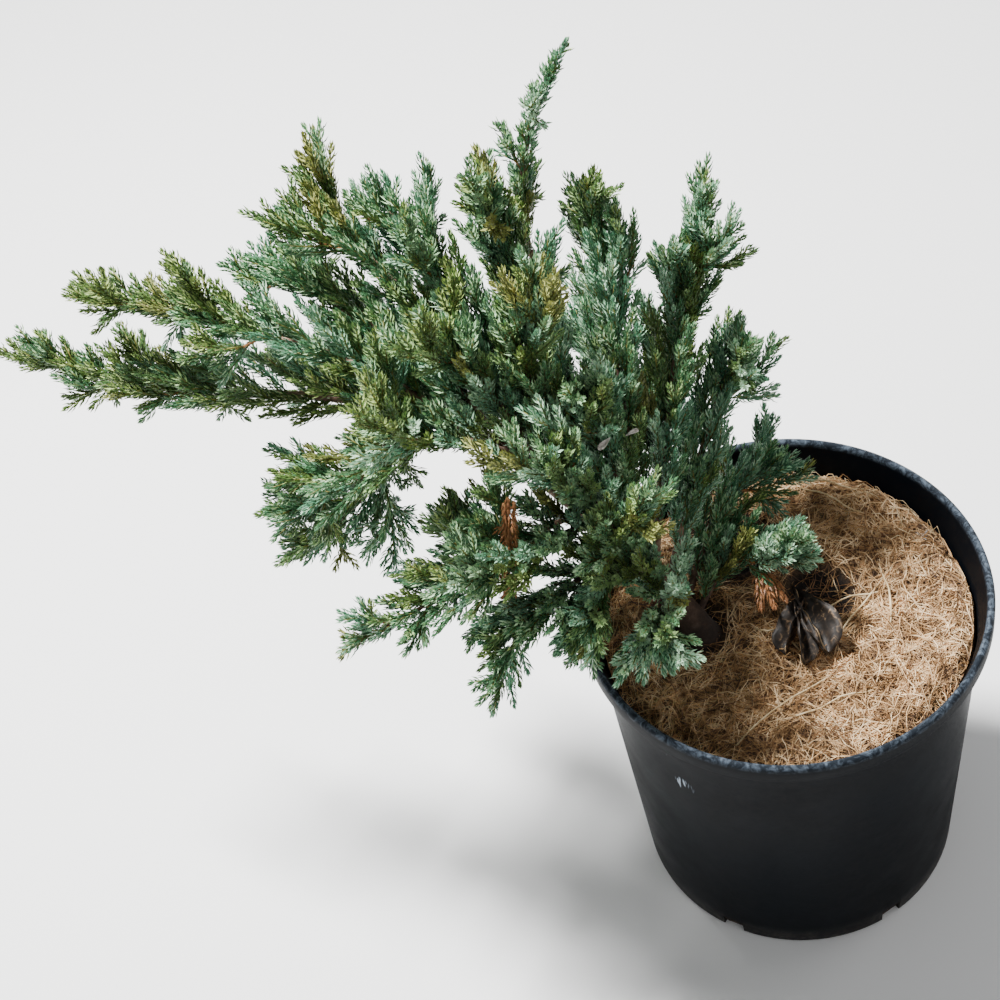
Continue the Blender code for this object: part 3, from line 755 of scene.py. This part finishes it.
for spots in DEAD_SPRAYS:
    add_shoot([Vector(spot) for spot in spots], dead_rng, 1.0, BARE_FOOT, "rust")

foliage_nodes = ["foliage_" + name for name in GROWTH]

# Waxy juniper needles: the bluish bloom scatters light, so they are pale and only a little glossy.
for name, (upper, lower) in NEEDLE_COLOURS.items():
    wax = start_material("needle_wax_" + name, upper, 0.55)[0]
    back = start_material("needle_back_" + name, lower, 0.48)[0]
    settle(needle_stores[name].build("needles_" + name, [wax, back]), "foliage", *foliage_nodes)

# Young juniper stems: smooth green-brown skin between the needles, in patches of about 11 mm.
young_skin = mottled(
    "young_stem_skin", "#646733", 0.6, {"Scale": cells(11.1), "Detail": 2.0},
    ((0.35, "#4b5a2e"), (0.65, "#7c7438")),
)
settle(young_twigs.build("young_stems", [young_skin]), "bark", *foliage_nodes)

# Second-year juniper twigs: golden-brown bark that is starting to come off in flakes of about 2.4 mm.
twig_bark = mottled(
    "golden_twig_bark", "#9a6d3e", 0.75, {"Scale": cells(2.38), "Detail": 4.0},
    ((0.3, "#6b4526"), (0.55, "#a06d3c"), (0.75, "#c79a66")), (0.5, 0.0003),
)
settle(brown_twigs.build("brown_twigs", [twig_bark]), "bark", *foliage_nodes)

# Old juniper bark: papery flakes of about 6 mm over 1 mm cracks, grey-brown over a pinkish under-bark.
# The trunk's foot carries painted shade, which fades out between these two heights.
FOOT_SHADE_HEIGHTS = (0.212, 0.250)
old_bark, tree, shader = start_material("juniper_bark", "#7b6353", 0.88)
place = add_node(tree, "TexCoord", (), "Object")
strips = add_node(tree, "TexNoise", {"Vector": place, "Scale": cells(6.25), "Detail": 6.0, "Roughness": 0.65})
shade = add_node(tree, "ValToRGB", (strips,), stops=(
    (0.28, "#3f2f26"), (0.48, "#735a49"), (0.62, "#9a7f6c"), (0.8, "#c4ab97"),
))
height = add_node(tree, "SeparateXYZ", (place,), "Z")
# Painted shade on the trunk's foot: the bark is mixed towards near black low down.
foot_shade_mask = add_node(tree, "MapRange", (height, *FOOT_SHADE_HEIGHTS, 0.9, 0.0))
shaded_bark = add_node(tree, "Mix", {"Factor": foot_shade_mask, "A": shade, "B": linear("#1b1410")}, "Result", data_type="RGBA")
fine = add_node(tree, "TexNoise", {"Vector": place, "Scale": cells(1.11), "Detail": 3.0})
bump = add_node(tree, "Bump", {"Height": strips, "Strength": 0.7, "Distance": 0.0008})
bump = add_node(tree, "Bump", {"Height": fine, "Strength": 0.35, "Distance": 0.0002, "Normal": bump})
feed(shader, {"Base Color": shaded_bark, "Normal": bump})


# The bark's ridges and flakes: how many along a metre, and how high they stand as a share of the radius.
RIDGES = 55.0
RIDGE_HEIGHT = 0.10
FLAKES = 150.0
FLAKE_HEIGHT = 0.06


def bark_relief(seed):
    """Long flakes and furrows for a limb, as a push on each point of a ring."""
    def push(turns, travelled):
        values = []
        for turn in turns:
            spot = Vector((math.cos(turn) * 2.2, math.sin(turn) * 2.2, travelled * RIDGES + seed))
            ridge = noise.noise(spot) * RIDGE_HEIGHT
            spot = Vector((spot.x * 2.6, spot.y * 2.6, travelled * FLAKES + seed))
            values.append(1.0 + ridge + noise.noise(spot) * FLAKE_HEIGHT)
        return np.array(values)
    return push


# The wood's rings and sides, and the collar where a bough leaves its limb: its swelling and its length.
TRUNK_RINGS = 72
TRUNK_SIDES = 28
BOUGH_RING_STEP = 0.003
BOUGH_SIDES = 14
STEM_RINGS = 24
STEM_SIDES = 10
STEM_TIP_RADIUS = 0.0006
COLLAR_SWELL = 0.35
COLLAR_LENGTH = 0.006


def lay_wood(store, line, radii, rings, sides, seed, swell=0.0):
    """One limb with its bark, which may be swollen at its foot."""
    spots, _, length = resample(line, rings)
    share = np.linspace(0.0, 1.0, rings)
    thick = np.interp(share, np.linspace(0.0, 1.0, len(radii)), radii)
    thick *= 1.0 + swell * np.exp(-share * length / COLLAR_LENGTH)
    store.add(spots, thick, sides, bark_relief(seed))


trunk_wood = TubeStore()
lay_wood(trunk_wood, *LIMBS["trunk"], TRUNK_RINGS, TRUNK_SIDES, 3.0)
settle(trunk_wood.build("trunk_wood", [old_bark]), "bark", "trunk")

bough_wood = TubeStore()
for number, name in enumerate(GROWTH):
    line, radii = LIMBS[name]
    rings = max(12, int(line_length(line) / BOUGH_RING_STEP))
    lay_wood(bough_wood, line, radii, rings, BOUGH_SIDES, 11.0 + number, COLLAR_SWELL)
    lay_wood(bough_wood, STEMS[name], (radii[-1], STEM_TIP_RADIUS), STEM_RINGS, STEM_SIDES, 31.0 + number)
settle(bough_wood.build("bough_wood", [old_bark]), "bark", *["bough_" + name for name in GROWTH])

# Black polypropylene, injection moulded: a smooth satin skin with handling scuffs and dried dust.
# The dust lies in 90 mm clouds of 4 mm specks, and the scuffs are 8 mm marks near the rim and the foot; along
# the rim's top the pale blue-grey marks are partly scuffs and partly a painted highlight.
PLASTIC_BLACK = "#05080d"
RIM_SCUFFS_AND_HIGHLIGHT = (0.2205, 0.2245)
FOOT_SCUFFS = (0.016, 0.002)
pot_plastic, tree, shader = start_material("black_moulded_plastic", PLASTIC_BLACK, 0.5)
place = add_node(tree, "TexCoord", (), "Object")
height = add_node(tree, "SeparateXYZ", (place,), "Z")
cloud = add_node(tree, "TexNoise", {"Vector": place, "Scale": cells(90.9), "Detail": 7.0, "Roughness": 0.62})
speck = add_node(tree, "TexNoise", {"Vector": place, "Scale": cells(3.85), "Detail": 3.0})
scratch = add_node(tree, "TexNoise", {
    "Vector": place, "Scale": cells(7.69), "Detail": 8.0, "Roughness": 0.75, "Distortion": 1.6,
})
dust_mask = add_node(tree, "MapRange", (cloud, 0.42, 0.78, 0.0, 0.15))
speck_mask = add_node(tree, "MapRange", (speck, 0.35, 0.7, 0.3, 1.0))
scratch_mask = add_node(tree, "MapRange", (scratch, 0.46, 0.68, 0.06, 0.55))
# Along the rim's top: pale blue-grey scuffs that are partly a painted highlight.
rim_scuff_and_highlight_mask = add_node(tree, "MapRange", (height, *RIM_SCUFFS_AND_HIGHLIGHT, 0.0, 1.0))
foot_mask = add_node(tree, "MapRange", (height, *FOOT_SCUFFS, 0.0, 0.5))
# Two handling scratches under the rim: upright marks, 2.4 by 25 mm, each in a small patch of the wall.
SCRATCHES = (((-0.0761, -0.0735, 0.168), 0.008), ((-0.0800, -0.0690, 0.190), 0.006))
thin = add_node(tree, "Mapping", {"Vector": place, "Scale": (cells(2.38), cells(2.38), cells(25.0))})
marks = add_node(tree, "TexNoise", {"Vector": thin, "Scale": 1.0, "Detail": 1.0})
sharp = add_node(tree, "MapRange", (marks, 0.54, 0.60, 0.0, 1.0))
layers = [
    (dust_mask, speck_mask, "#3a342d"),
    (rim_scuff_and_highlight_mask, scratch_mask, "#8493a4"),
    (foot_mask, scratch_mask, "#8b8378"),
]
for spot, reach in SCRATCHES:
    away = add_node(tree, "VectorMath", (place, spot), "Value", operation="DISTANCE")
    layers.append((add_node(tree, "MapRange", (away, reach * 0.6, reach, 0.75, 0.0)), sharp, "#a9b6c4"))
skin = linear(PLASTIC_BLACK)
for first, second, code in layers:
    both = add_node(tree, "Math", (first, second), operation="MULTIPLY")
    skin = add_node(tree, "Mix", {"Factor": both, "A": skin, "B": linear(code)}, "Result", data_type="RGBA")
gloss = add_node(tree, "MapRange", (cloud, 0.3, 0.75, 0.34, 0.62))
bump = add_node(tree, "Bump", {"Height": scratch, "Strength": 0.12, "Distance": 0.0006})
bump = add_node(tree, "Bump", {"Height": speck, "Strength": 0.08, "Distance": 0.0002, "Normal": bump})
feed(shader, {"Base Color": skin, "Roughness": gloss, "Specular IOR Level": 0.04, "Normal": bump})

# The pot's wall from the middle of its underside, up to the rolled lip, over it and down inside.
POT_SECTORS = 144
WALL_STEPS = 12
lip_low = POT_HEIGHT - LIP_HEIGHT
pot_profile = [
    (0.0, 0.0),
    (0.070, 0.0),
    (POT_FOOT_RADIUS - 0.0022, 0.0),
    (POT_FOOT_RADIUS - 0.0008, 0.0004),
    (POT_FOOT_RADIUS, 0.0018),
]
for i in range(1, WALL_STEPS):
    share = i / WALL_STEPS
    radius = POT_FOOT_RADIUS + (POT_TOP_RADIUS - POT_FOOT_RADIUS) * share
    pot_profile.append((radius, 0.0018 + (lip_low - 0.0035) * share))
pot_profile += [
    (POT_TOP_RADIUS, lip_low - 0.0012),
    (POT_TOP_RADIUS + 0.0005, lip_low - 0.0003),
    (POT_TOP_RADIUS + 0.0016, lip_low),
    (POT_RIM_RADIUS - 0.0014, lip_low + 0.0001),
    (POT_RIM_RADIUS - 0.0004, lip_low + 0.0007),
    (POT_RIM_RADIUS, lip_low + 0.0020),
    (POT_RIM_RADIUS, POT_HEIGHT - 0.0030),
    (POT_RIM_RADIUS - 0.0004, POT_HEIGHT - 0.0016),
    (POT_RIM_RADIUS - 0.0012, POT_HEIGHT - 0.0005),
    (POT_RIM_RADIUS - 0.0023, POT_HEIGHT),
    (POT_RIM_RADIUS - 0.0033, POT_HEIGHT - 0.0005),
    (POT_RIM_RADIUS - 0.0041, POT_HEIGHT - 0.0016),
    (POT_RIM_RADIUS - LIP_WIDTH, POT_HEIGHT - 0.0030),
    (POT_RIM_RADIUS - LIP_WIDTH - 0.0004, POT_HEIGHT - 0.0065),
    (POT_TOP_RADIUS - POT_WALL, lip_low - 0.0030),
    (0.5 * (POT_TOP_RADIUS + POT_FOOT_RADIUS) - POT_WALL, 0.5 * (lip_low + POT_FLOOR)),
    (POT_FOOT_RADIUS - POT_WALL, POT_FLOOR),
    (0.0, POT_FLOOR),
]
bm = bmesh.new()
spin_profile(bm, pot_profile, POT_SECTORS)
pot_shell = bmesh_object("pot_shell", bm, pot_plastic)

# The drain notches, cut through the wall at its foot with rounded corners.
NOTCH_DEPTH = 0.016
NOTCH_CORNER = 0.0012
bm = bmesh.new()
for k in range(NOTCHES):
    turn = Matrix.Rotation(NOTCH_FIRST + 2.0 * math.pi * k / NOTCHES, 4, "Z")
    spot = Matrix.Translation((POT_FOOT_RADIUS, 0.0, NOTCH_HEIGHT / 2 - 0.002))
    size = Matrix.Diagonal((NOTCH_DEPTH, NOTCH_WIDTH, NOTCH_HEIGHT + 0.004, 1.0))
    bmesh.ops.create_cube(bm, size=1.0, matrix=turn @ spot @ size)
bmesh.ops.bevel(
    bm, geom=bm.edges[:], offset=NOTCH_CORNER, affect="EDGES", segments=2, profile=0.5, material=-1,
)
cutter = bmesh_object("notch_cutter", bm, pot_plastic)
tool = pot_shell.modifiers.new("notches", "BOOLEAN")
tool.operation = "DIFFERENCE"
tool.solver = "EXACT"
tool.object = cutter
bpy.context.view_layer.objects.active = pot_shell
bpy.ops.object.modifier_apply(modifier=tool.name)
bpy.data.objects.remove(cutter, do_unlink=True)
mesh = pot_shell.data
mesh.polygons.foreach_set("use_smooth", np.full(len(mesh.polygons), True))
mesh.set_sharp_from_angle(angle=math.radians(38))
settle(pot_shell, "pot_plastic", "pot")

# Damp potting compost: dark crumbs of about 2.6 mm, seen only through the drain notches.
compost = mottled(
    "potting_compost", "#2a2019", 0.95, {"Scale": cells(2.63), "Detail": 5.0},
    ((0.3, "#120d0a"), (0.6, "#3a2b20"), (0.8, "#6a523c")), (0.9, 0.001),
)
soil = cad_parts["root_ball"]
soil.data.materials.clear()
soil.data.materials.append(compost)

# The hollows in the coir, each with its place and reach: beside the leaf, behind the trunk and round
# its foot. Each is dipped, crossed by fewer fibres and darkened with painted shade.
HOLLOWS = ((0.0225, 0.0150, 0.024), (-0.0200, 0.0580, 0.034), (-0.0570, 0.0060, 0.030))
HOLLOW_DEPTH = 0.0065
HOLLOW_FLOOR = 0.194
HOLLOW_OPEN = 0.80


def in_hollow(x, y):
    """Whether a place lies in the open part of a hollow, where few fibres cross."""
    return any(math.hypot(x - pit_x, y - pit_y) < HOLLOW_OPEN * reach for pit_x, pit_y, reach in HOLLOWS)


# Coir, matted loosely: the felt under the loose fibres is a 5 mm tangle, with painted shade where it lies low
# and in the hollows.
coir_felt, tree, shader = start_material("coir_felt", "#7a5a3c", 0.95)
place = add_node(tree, "TexCoord", (), "Object")
height = add_node(tree, "SeparateXYZ", (place,), "Z")
tangle = add_node(tree, "TexNoise", {
    "Vector": place, "Scale": cells(4.76), "Detail": 7.0, "Roughness": 0.7, "Distortion": 2.5,
})
shade = add_node(tree, "ValToRGB", (tangle,), stops=(
    (0.28, "#2c1e14"), (0.45, "#6a5039"), (0.6, "#9c7d5a"), (0.78, "#c7a985"),
))
# Painted shade: darker where the felt lies low and in each hollow.
layers = [(add_node(tree, "MapRange", (height, HOLLOW_FLOOR, 0.204, 0.25, 1.0)), "#1c120b")]
for x, y, reach in HOLLOWS:
    away = add_node(tree, "VectorMath", (place, (x, y, HOLLOW_FLOOR)), "Value", operation="DISTANCE")
    layers.append((add_node(tree, "MapRange", (away, reach * 0.62, reach, 0.0, 1.0)), "#140d09"))
for mask, code in layers:
    shade = add_node(tree, "Mix", {"Factor": mask, "A": linear(code), "B": shade}, "Result", data_type="RGBA")
bump = add_node(tree, "Bump", {"Height": tangle, "Strength": 1.0, "Distance": 0.002})
feed(shader, {"Base Color": shade, "Normal": bump})


def wall_inside(height):
    """The pot's inner radius at a height."""
    share = (height - POT_FLOOR) / (POT_HEIGHT - LIP_HEIGHT - 0.003 - POT_FLOOR)
    foot = POT_FOOT_RADIUS - POT_WALL
    return foot + (POT_TOP_RADIUS - POT_WALL - foot) * share


# The felt's lumps and tufts: how many in a metre, the layer of noise and the height. Near the wall it drops.
FELT_LUMPS = ((60.0, 3.0, 0.0030), (190.0, 8.0, 0.0015))
EDGE_START = 0.094
EDGE_WIDTH = 0.010
EDGE_DROP = 0.0035


def felt_height(x, y):
    """The coir's top with its small lumps and tufts, sunk along the wall and in the hollows."""
    height = mulch_height(x, y)
    for scale, layer, rise in FELT_LUMPS:
        height += noise.noise(Vector((x * scale, y * scale, layer))) * rise
    edge = max(0.0, (math.hypot(x, y) - EDGE_START) / EDGE_WIDTH)
    height -= EDGE_DROP * min(1.0, edge) ** 2
    for pit_x, pit_y, reach in HOLLOWS:
        height -= HOLLOW_DEPTH * math.exp(-((x - pit_x) ** 2 + (y - pit_y) ** 2) / (0.45 * reach * reach))
    return height


FELT_RINGS = 64
FELT_SECTORS = 180
FELT_REACH = 0.994
felt_edge = wall_inside(SOIL_TOP + GAP) * FELT_REACH
felt_profile = [(felt_edge * i / FELT_RINGS, COIR_TOP) for i in range(FELT_RINGS + 1)]
felt_profile += [(felt_edge, SOIL_TOP + GAP), (0.0, SOIL_TOP + GAP)]
bm = bmesh.new()
spin_profile(bm, felt_profile, FELT_SECTORS)
for vert in bm.verts:
    if vert.co.z > SOIL_TOP + 0.005:
        vert.co.z = felt_height(vert.co.x, vert.co.y)
settle(bmesh_object("coir_felt", bm, coir_felt), "coir", "coir_mat")

# Loose coir fibres: stiff and curly, pale where the sun has bleached them. They are drawn 0.3 to 0.6 mm
# thick, coarser than most real ones, so that they show. Each kind has its bright and its dull colour, its
# number of fibres and their thickness.
FIBRE_KINDS = {
    "bleached": ("#eccfa4", "#b08a5e", 3200, 0.00046),
    "tan": ("#cfa675", "#86633d", 3300, 0.00046),
    "brown": ("#8a643f", "#46301f", 1700, 0.00044),
}
FIBRE_LENGTHS = (0.010, 0.034)
FIBRE_CURL = 0.36
FIBRE_STEPS = 5
fibre_rng = np.random.default_rng(51)


def lay_fibre(rng, start, heading, length, lift, curl, steps):
    """A curly line over the coir that stays inside the pot's wall."""
    points = []
    x, y = start
    turn = heading
    rise = rng.uniform(0.0002, 0.0016)
    for i in range(steps + 1):
        share = i / steps
        out = math.hypot(x, y)
        if out > felt_edge - 0.001:
            x *= (felt_edge - 0.001) / out
            y *= (felt_edge - 0.001) / out
        height = felt_height(x, y) + rise + lift * math.sin(math.pi * min(1.0, share * 1.1)) ** 2
        points.append(Vector((x, y, height)))
        turn += rng.normal(0.0, curl)
        x += math.cos(turn) * length / steps
        y += math.sin(turn) * length / steps
    return points


for kind, (bright, dull, amount, thickness) in FIBRE_KINDS.items():
    strands = TubeStore()
    for i in range(amount):
        out = felt_edge * math.sqrt(fibre_rng.uniform(0.0, 0.97))
        turn = fibre_rng.uniform(0.0, 6.283)
        start = (out * math.cos(turn), out * math.sin(turn))
        length = fibre_rng.uniform(*FIBRE_LENGTHS)
        lift = max(0.0, fibre_rng.normal(0.0010, 0.0022))
        heading = fibre_rng.uniform(0.0, 6.283)
        line = lay_fibre(fibre_rng, start, heading, length, lift, FIBRE_CURL, FIBRE_STEPS)
        crossing = any(in_hollow(point.x, point.y) for point in line)
        if crossing and fibre_rng.uniform() < (0.6 if kind == "brown" else 0.93):
            continue
        width = thickness * fibre_rng.uniform(0.6, 1.3) * 0.5
        strands.add(line, [width] * FIBRE_STEPS + [width * 0.5], 3)
    # Coir: a dry, matt hair whose colour changes about every 11 mm.
    hair = mottled(
        "coir_fibre_" + kind, bright, 0.7, {"Scale": cells(10.5), "Detail": 3.0},
        ((0.40, dull), (0.56, bright)),
    )
    settle(strands.build("coir_fibres_" + kind, [hair], False), "coir", "coir_mat")

# A few long straws lie over the coir, each with its place, heading in degrees, length and lift, and thin
# fibres stand up behind them along the rim.
STRAWS = (
    (0.018, -0.028, 42.0, 0.060, 0.004),
    (0.018, 0.002, 18.0, 0.042, 0.005),
    (-0.045, -0.080, 36.0, 0.070, 0.004),
    (0.010, 0.088, -16.0, 0.056, 0.009),
    (0.055, -0.020, 75.0, 0.045, 0.004),
    (-0.010, -0.070, 10.0, 0.055, 0.003),
    (0.060, 0.055, 150.0, 0.050, 0.006),
    (-0.018, -0.006, -40.0, 0.030, 0.006),
)
STRAW_LIFT = Vector((0.0, 0.0, 0.0015))
STRAW_CURL = 0.06
STRAW_RADII = [0.00055] * 8 + [0.0003]
RIM_FIBRES = 90
RIM_FIBRE_CURL = 0.5
RIM_FIBRE_RADII = [0.00020] * 7 + [0.00012]
straws = TubeStore()
for x, y, heading, length, lift in STRAWS:
    steps = len(STRAW_RADII) - 1
    line = lay_fibre(fibre_rng, (x, y), math.radians(heading), length, lift, STRAW_CURL, steps)
    straws.add([point + STRAW_LIFT for point in line], STRAW_RADII, 6)
for i in range(RIM_FIBRES):
    turn = fibre_rng.uniform(0.3, 3.4)
    out = felt_edge * fibre_rng.uniform(0.78, 0.97)
    start = (out * math.cos(turn), out * math.sin(turn))
    length = fibre_rng.uniform(0.014, 0.030)
    heading = turn + fibre_rng.normal(1.6, 0.7)
    lift = fibre_rng.uniform(0.003, 0.009)
    steps = len(RIM_FIBRE_RADII) - 1
    line = lay_fibre(fibre_rng, start, heading, length, lift, RIM_FIBRE_CURL, steps)
    straws.add(line, RIM_FIBRE_RADII, 3)

# Dry straw: pale and stiff, with a slight satin skin and duller bands of about 8 mm.
straw_skin = mottled(
    "dry_straw", "#cdb589", 0.5, {"Scale": cells(8.33), "Detail": 2.0},
    ((0.35, "#a88a5c"), (0.6, "#dcc8a0")),
)
settle(straws.build("dry_straws", [straw_skin]), "coir", "coir_mat")


def leaf_point(shape, u, v):
    """A place on a dry leaf, u along its rib and v across it from -1 to 1."""
    base, heading, pitch, length, width, cup, sag, roll = shape
    turn, pitch, roll = math.radians(heading), math.radians(pitch), math.radians(roll)
    way = Vector((math.cos(turn) * math.cos(pitch), math.sin(turn) * math.cos(pitch), math.sin(pitch)))
    side = way.cross(Vector((0.0, 0.0, 1.0))).normalized()
    side = (side * math.cos(roll) + way.cross(side) * math.sin(roll)).normalized()
    up = side.cross(way).normalized()
    half = width * (0.012 + 1.15 * (1.0 - u) ** 1.25 * u ** 0.55)
    wave = 0.22 * width * noise.noise(Vector((u * 5.0, v * 2.6, heading)))
    lift = cup * half * abs(v) ** 1.3 - sag * length * u * u + wave
    return Vector(base) + way * (length * u) + side * (half * v) + up * lift


LEAF_LENGTHWISE = 18
LEAF_ACROSS = 10
LEAF_THICKNESS = 0.00035


def leaf_blade(name, paint, shape):
    """A dry leaf: a closed thin blade, pointed at both ends, folded along its rib and crumpled."""
    bm = bmesh.new()
    bmesh.ops.create_grid(bm, x_segments=LEAF_LENGTHWISE, y_segments=LEAF_ACROSS, size=1.0)
    for vert in bm.verts:
        vert.co = leaf_point(shape, 0.5 + 0.5 * vert.co.x, vert.co.y)
    bmesh.ops.solidify(bm, geom=bm.faces[:], thickness=LEAF_THICKNESS)
    return bmesh_object(name, bm, paint)


# A fallen broad leaf, long dry and in three folds: dark leathery skin, blotched paler about every 4 mm.
leathery = mottled(
    "dry_leaf_skin", "#352e28", 0.6, {"Scale": cells(3.85), "Detail": 4.0, "Distortion": 1.0},
    ((0.38, "#1a1511"), (0.56, "#30271f"), (0.70, "#8a7054")), (0.5, 0.0004),
)
# The midrib of a dry leaf: smooth tan wood, paler than the skin.
rib_skin = start_material("dry_leaf_rib", "#a98f6c", 0.6)[0]
# Each leaf has its foot, heading and pitch in degrees, length, width, cup, sag, and roll in degrees.
LEAVES = (
    ((0.0160, -0.0340, 0.2068), 104.0, 22.0, 0.044, 0.026, 1.3, 0.05, 10.0),
    ((-0.0060, -0.0290, 0.2066), 60.0, 26.0, 0.040, 0.017, 1.5, 0.10, -28.0),
    ((0.0020, -0.0370, 0.2062), 84.0, 34.0, 0.036, 0.015, 1.6, 0.08, 30.0),
)
RIB_STEPS = 18
RIB_RADII = (0.0007, 0.0002)
ribs = TubeStore()
for number, shape in enumerate(LEAVES):
    settle(leaf_blade("dry_leaf_%d" % number, leathery, shape), "coir", "coir_mat")
    line = [leaf_point(shape, i / RIB_STEPS, 0.0) for i in range(RIB_STEPS + 1)]
    ribs.add(line, np.linspace(*RIB_RADII, RIB_STEPS + 1), 6)
settle(ribs.build("dry_leaf_ribs", [rib_skin]), "coir", "coir_mat")

# Small leaves caught in the needles: thin and papery, bleached grey in blotches of about 3 mm.
bleached = mottled(
    "bleached_leaf_skin", "#cfc8c0", 0.7, {"Scale": cells(3.125), "Detail": 4.0},
    ((0.35, "#a49b92"), (0.6, "#ded8d0")),
)
HUSKS = (
    ("foliage_centre", ((-0.0889, 0.0034, 0.368), 30.0, 20.0, 0.009, 0.004, 0.8, 0.2, 30.0)),
    ("foliage_centre", ((-0.0668, 0.0115, 0.368), 200.0, 10.0, 0.007, 0.003, 0.8, 0.2, -20.0)),
    ("foliage_centre_front", ((-0.0560, -0.0010, 0.255), 95.0, 40.0, 0.012, 0.004, 0.8, 0.2, 40.0)),
)
for number, (mass, shape) in enumerate(HUSKS):
    settle(leaf_blade("husk_%d" % number, bleached, shape), "foliage", mass)

# White down: soft and matt, a tuft of fine hairs caught between the coir and the rim.
DOWN_ROOT = Vector((0.0880, 0.0350, 0.2030))
DOWN_HAIRS = 26
DOWN_LENGTHS = (0.003, 0.007)
DOWN_RADII = (0.00022, 0.00016, 0.00008)
DOWN_DROOP = Vector((0.0, 0.0, -0.0006))
down = TubeStore()
for i in range(DOWN_HAIRS):
    turn = dead_rng.uniform(0.0, 6.283)
    aim = Vector((math.cos(turn), math.sin(turn), dead_rng.uniform(0.1, 1.1))).normalized()
    size = dead_rng.uniform(*DOWN_LENGTHS)
    down.add([DOWN_ROOT, DOWN_ROOT + aim * size * 0.5, DOWN_ROOT + aim * size + DOWN_DROOP], DOWN_RADII, 3)
downy = start_material("white_down", "#d8dde2", 0.8)[0]
settle(down.build("down_tuft", [downy]), "coir", "coir_mat")

# The camera stands where the photograph's did: a long lens, rolled a little to the left.
CAMERA_PLACE = Vector((-0.1149, -0.6661, 1.1235))
CAMERA_TURN = math.radians(47.3)
CAMERA_ROLL = math.radians(-11.0)
look = Vector((0.0, math.cos(CAMERA_TURN), -math.sin(CAMERA_TURN)))
right = Vector((1.0, 0.0, 0.0))
up = right.cross(look)
rolled_right = right * math.cos(CAMERA_ROLL) + up * math.sin(CAMERA_ROLL)
rolled_up = up * math.cos(CAMERA_ROLL) - right * math.sin(CAMERA_ROLL)
lens = bpy.data.cameras.new("photo_camera")
lens.lens = 72.0
lens.sensor_width = 36.0
lens.shift_x = -0.04
lens.shift_y = -0.08
camera = bpy.data.objects.new("photo_camera", lens)
bpy.context.scene.collection.objects.link(camera)
camera.matrix_world = Matrix((
    (rolled_right.x, rolled_up.x, -look.x, CAMERA_PLACE.x),
    (rolled_right.y, rolled_up.y, -look.y, CAMERA_PLACE.y),
    (rolled_right.z, rolled_up.z, -look.z, CAMERA_PLACE.z),
    (0.0, 0.0, 0.0, 1.0),
))
bpy.context.scene.camera = camera

# A plain pale floor, matt like card.
FLOOR_REACH = 6.0
FLOOR_DROP = Matrix.Translation((0.0, 0.0, -0.0004))
bm = bmesh.new()
bmesh.ops.create_grid(bm, x_segments=1, y_segments=1, size=FLOOR_REACH, matrix=FLOOR_DROP)
floor = bmesh_object("floor", bm, start_material("pale_floor", "#fbfbfa", 0.9)[0], False)

# Soft studio light: a key from behind on the left, a weak fill from the front, a weak light from the right,
# and a pale surround.
# Each lamp has its place, the point that it is aimed at, its power in watts and its size.
LAMPS = (
    ("key", (-0.60, 0.52, 1.75), (-0.08, 0.03, 0.25), 124.0, 0.30),
    ("fill", (0.9, -1.3, 1.2), (-0.05, 0.0, 0.2), 4.5, 1.4),
    ("side", (1.5, 0.5, 0.7), (0.0, 0.0, 0.15), 6.0, 0.9),
)
for name, spot, aim, power, size in LAMPS:
    lamp = bpy.data.lights.new(name, "AREA")
    lamp.energy = power
    lamp.size = size
    lamp_body = bpy.data.objects.new(name, lamp)
    bpy.context.scene.collection.objects.link(lamp_body)
    lamp_body.location = spot
    lamp_body.rotation_euler = (Vector(aim) - Vector(spot)).to_track_quat("-Z", "Y").to_euler()
world = bpy.data.worlds.new("surround")
bpy.context.scene.world = world
world.use_nodes = True
feed(world.node_tree.nodes["Background"], {"Color": linear("#f4f6f8"), "Strength": 0.36})
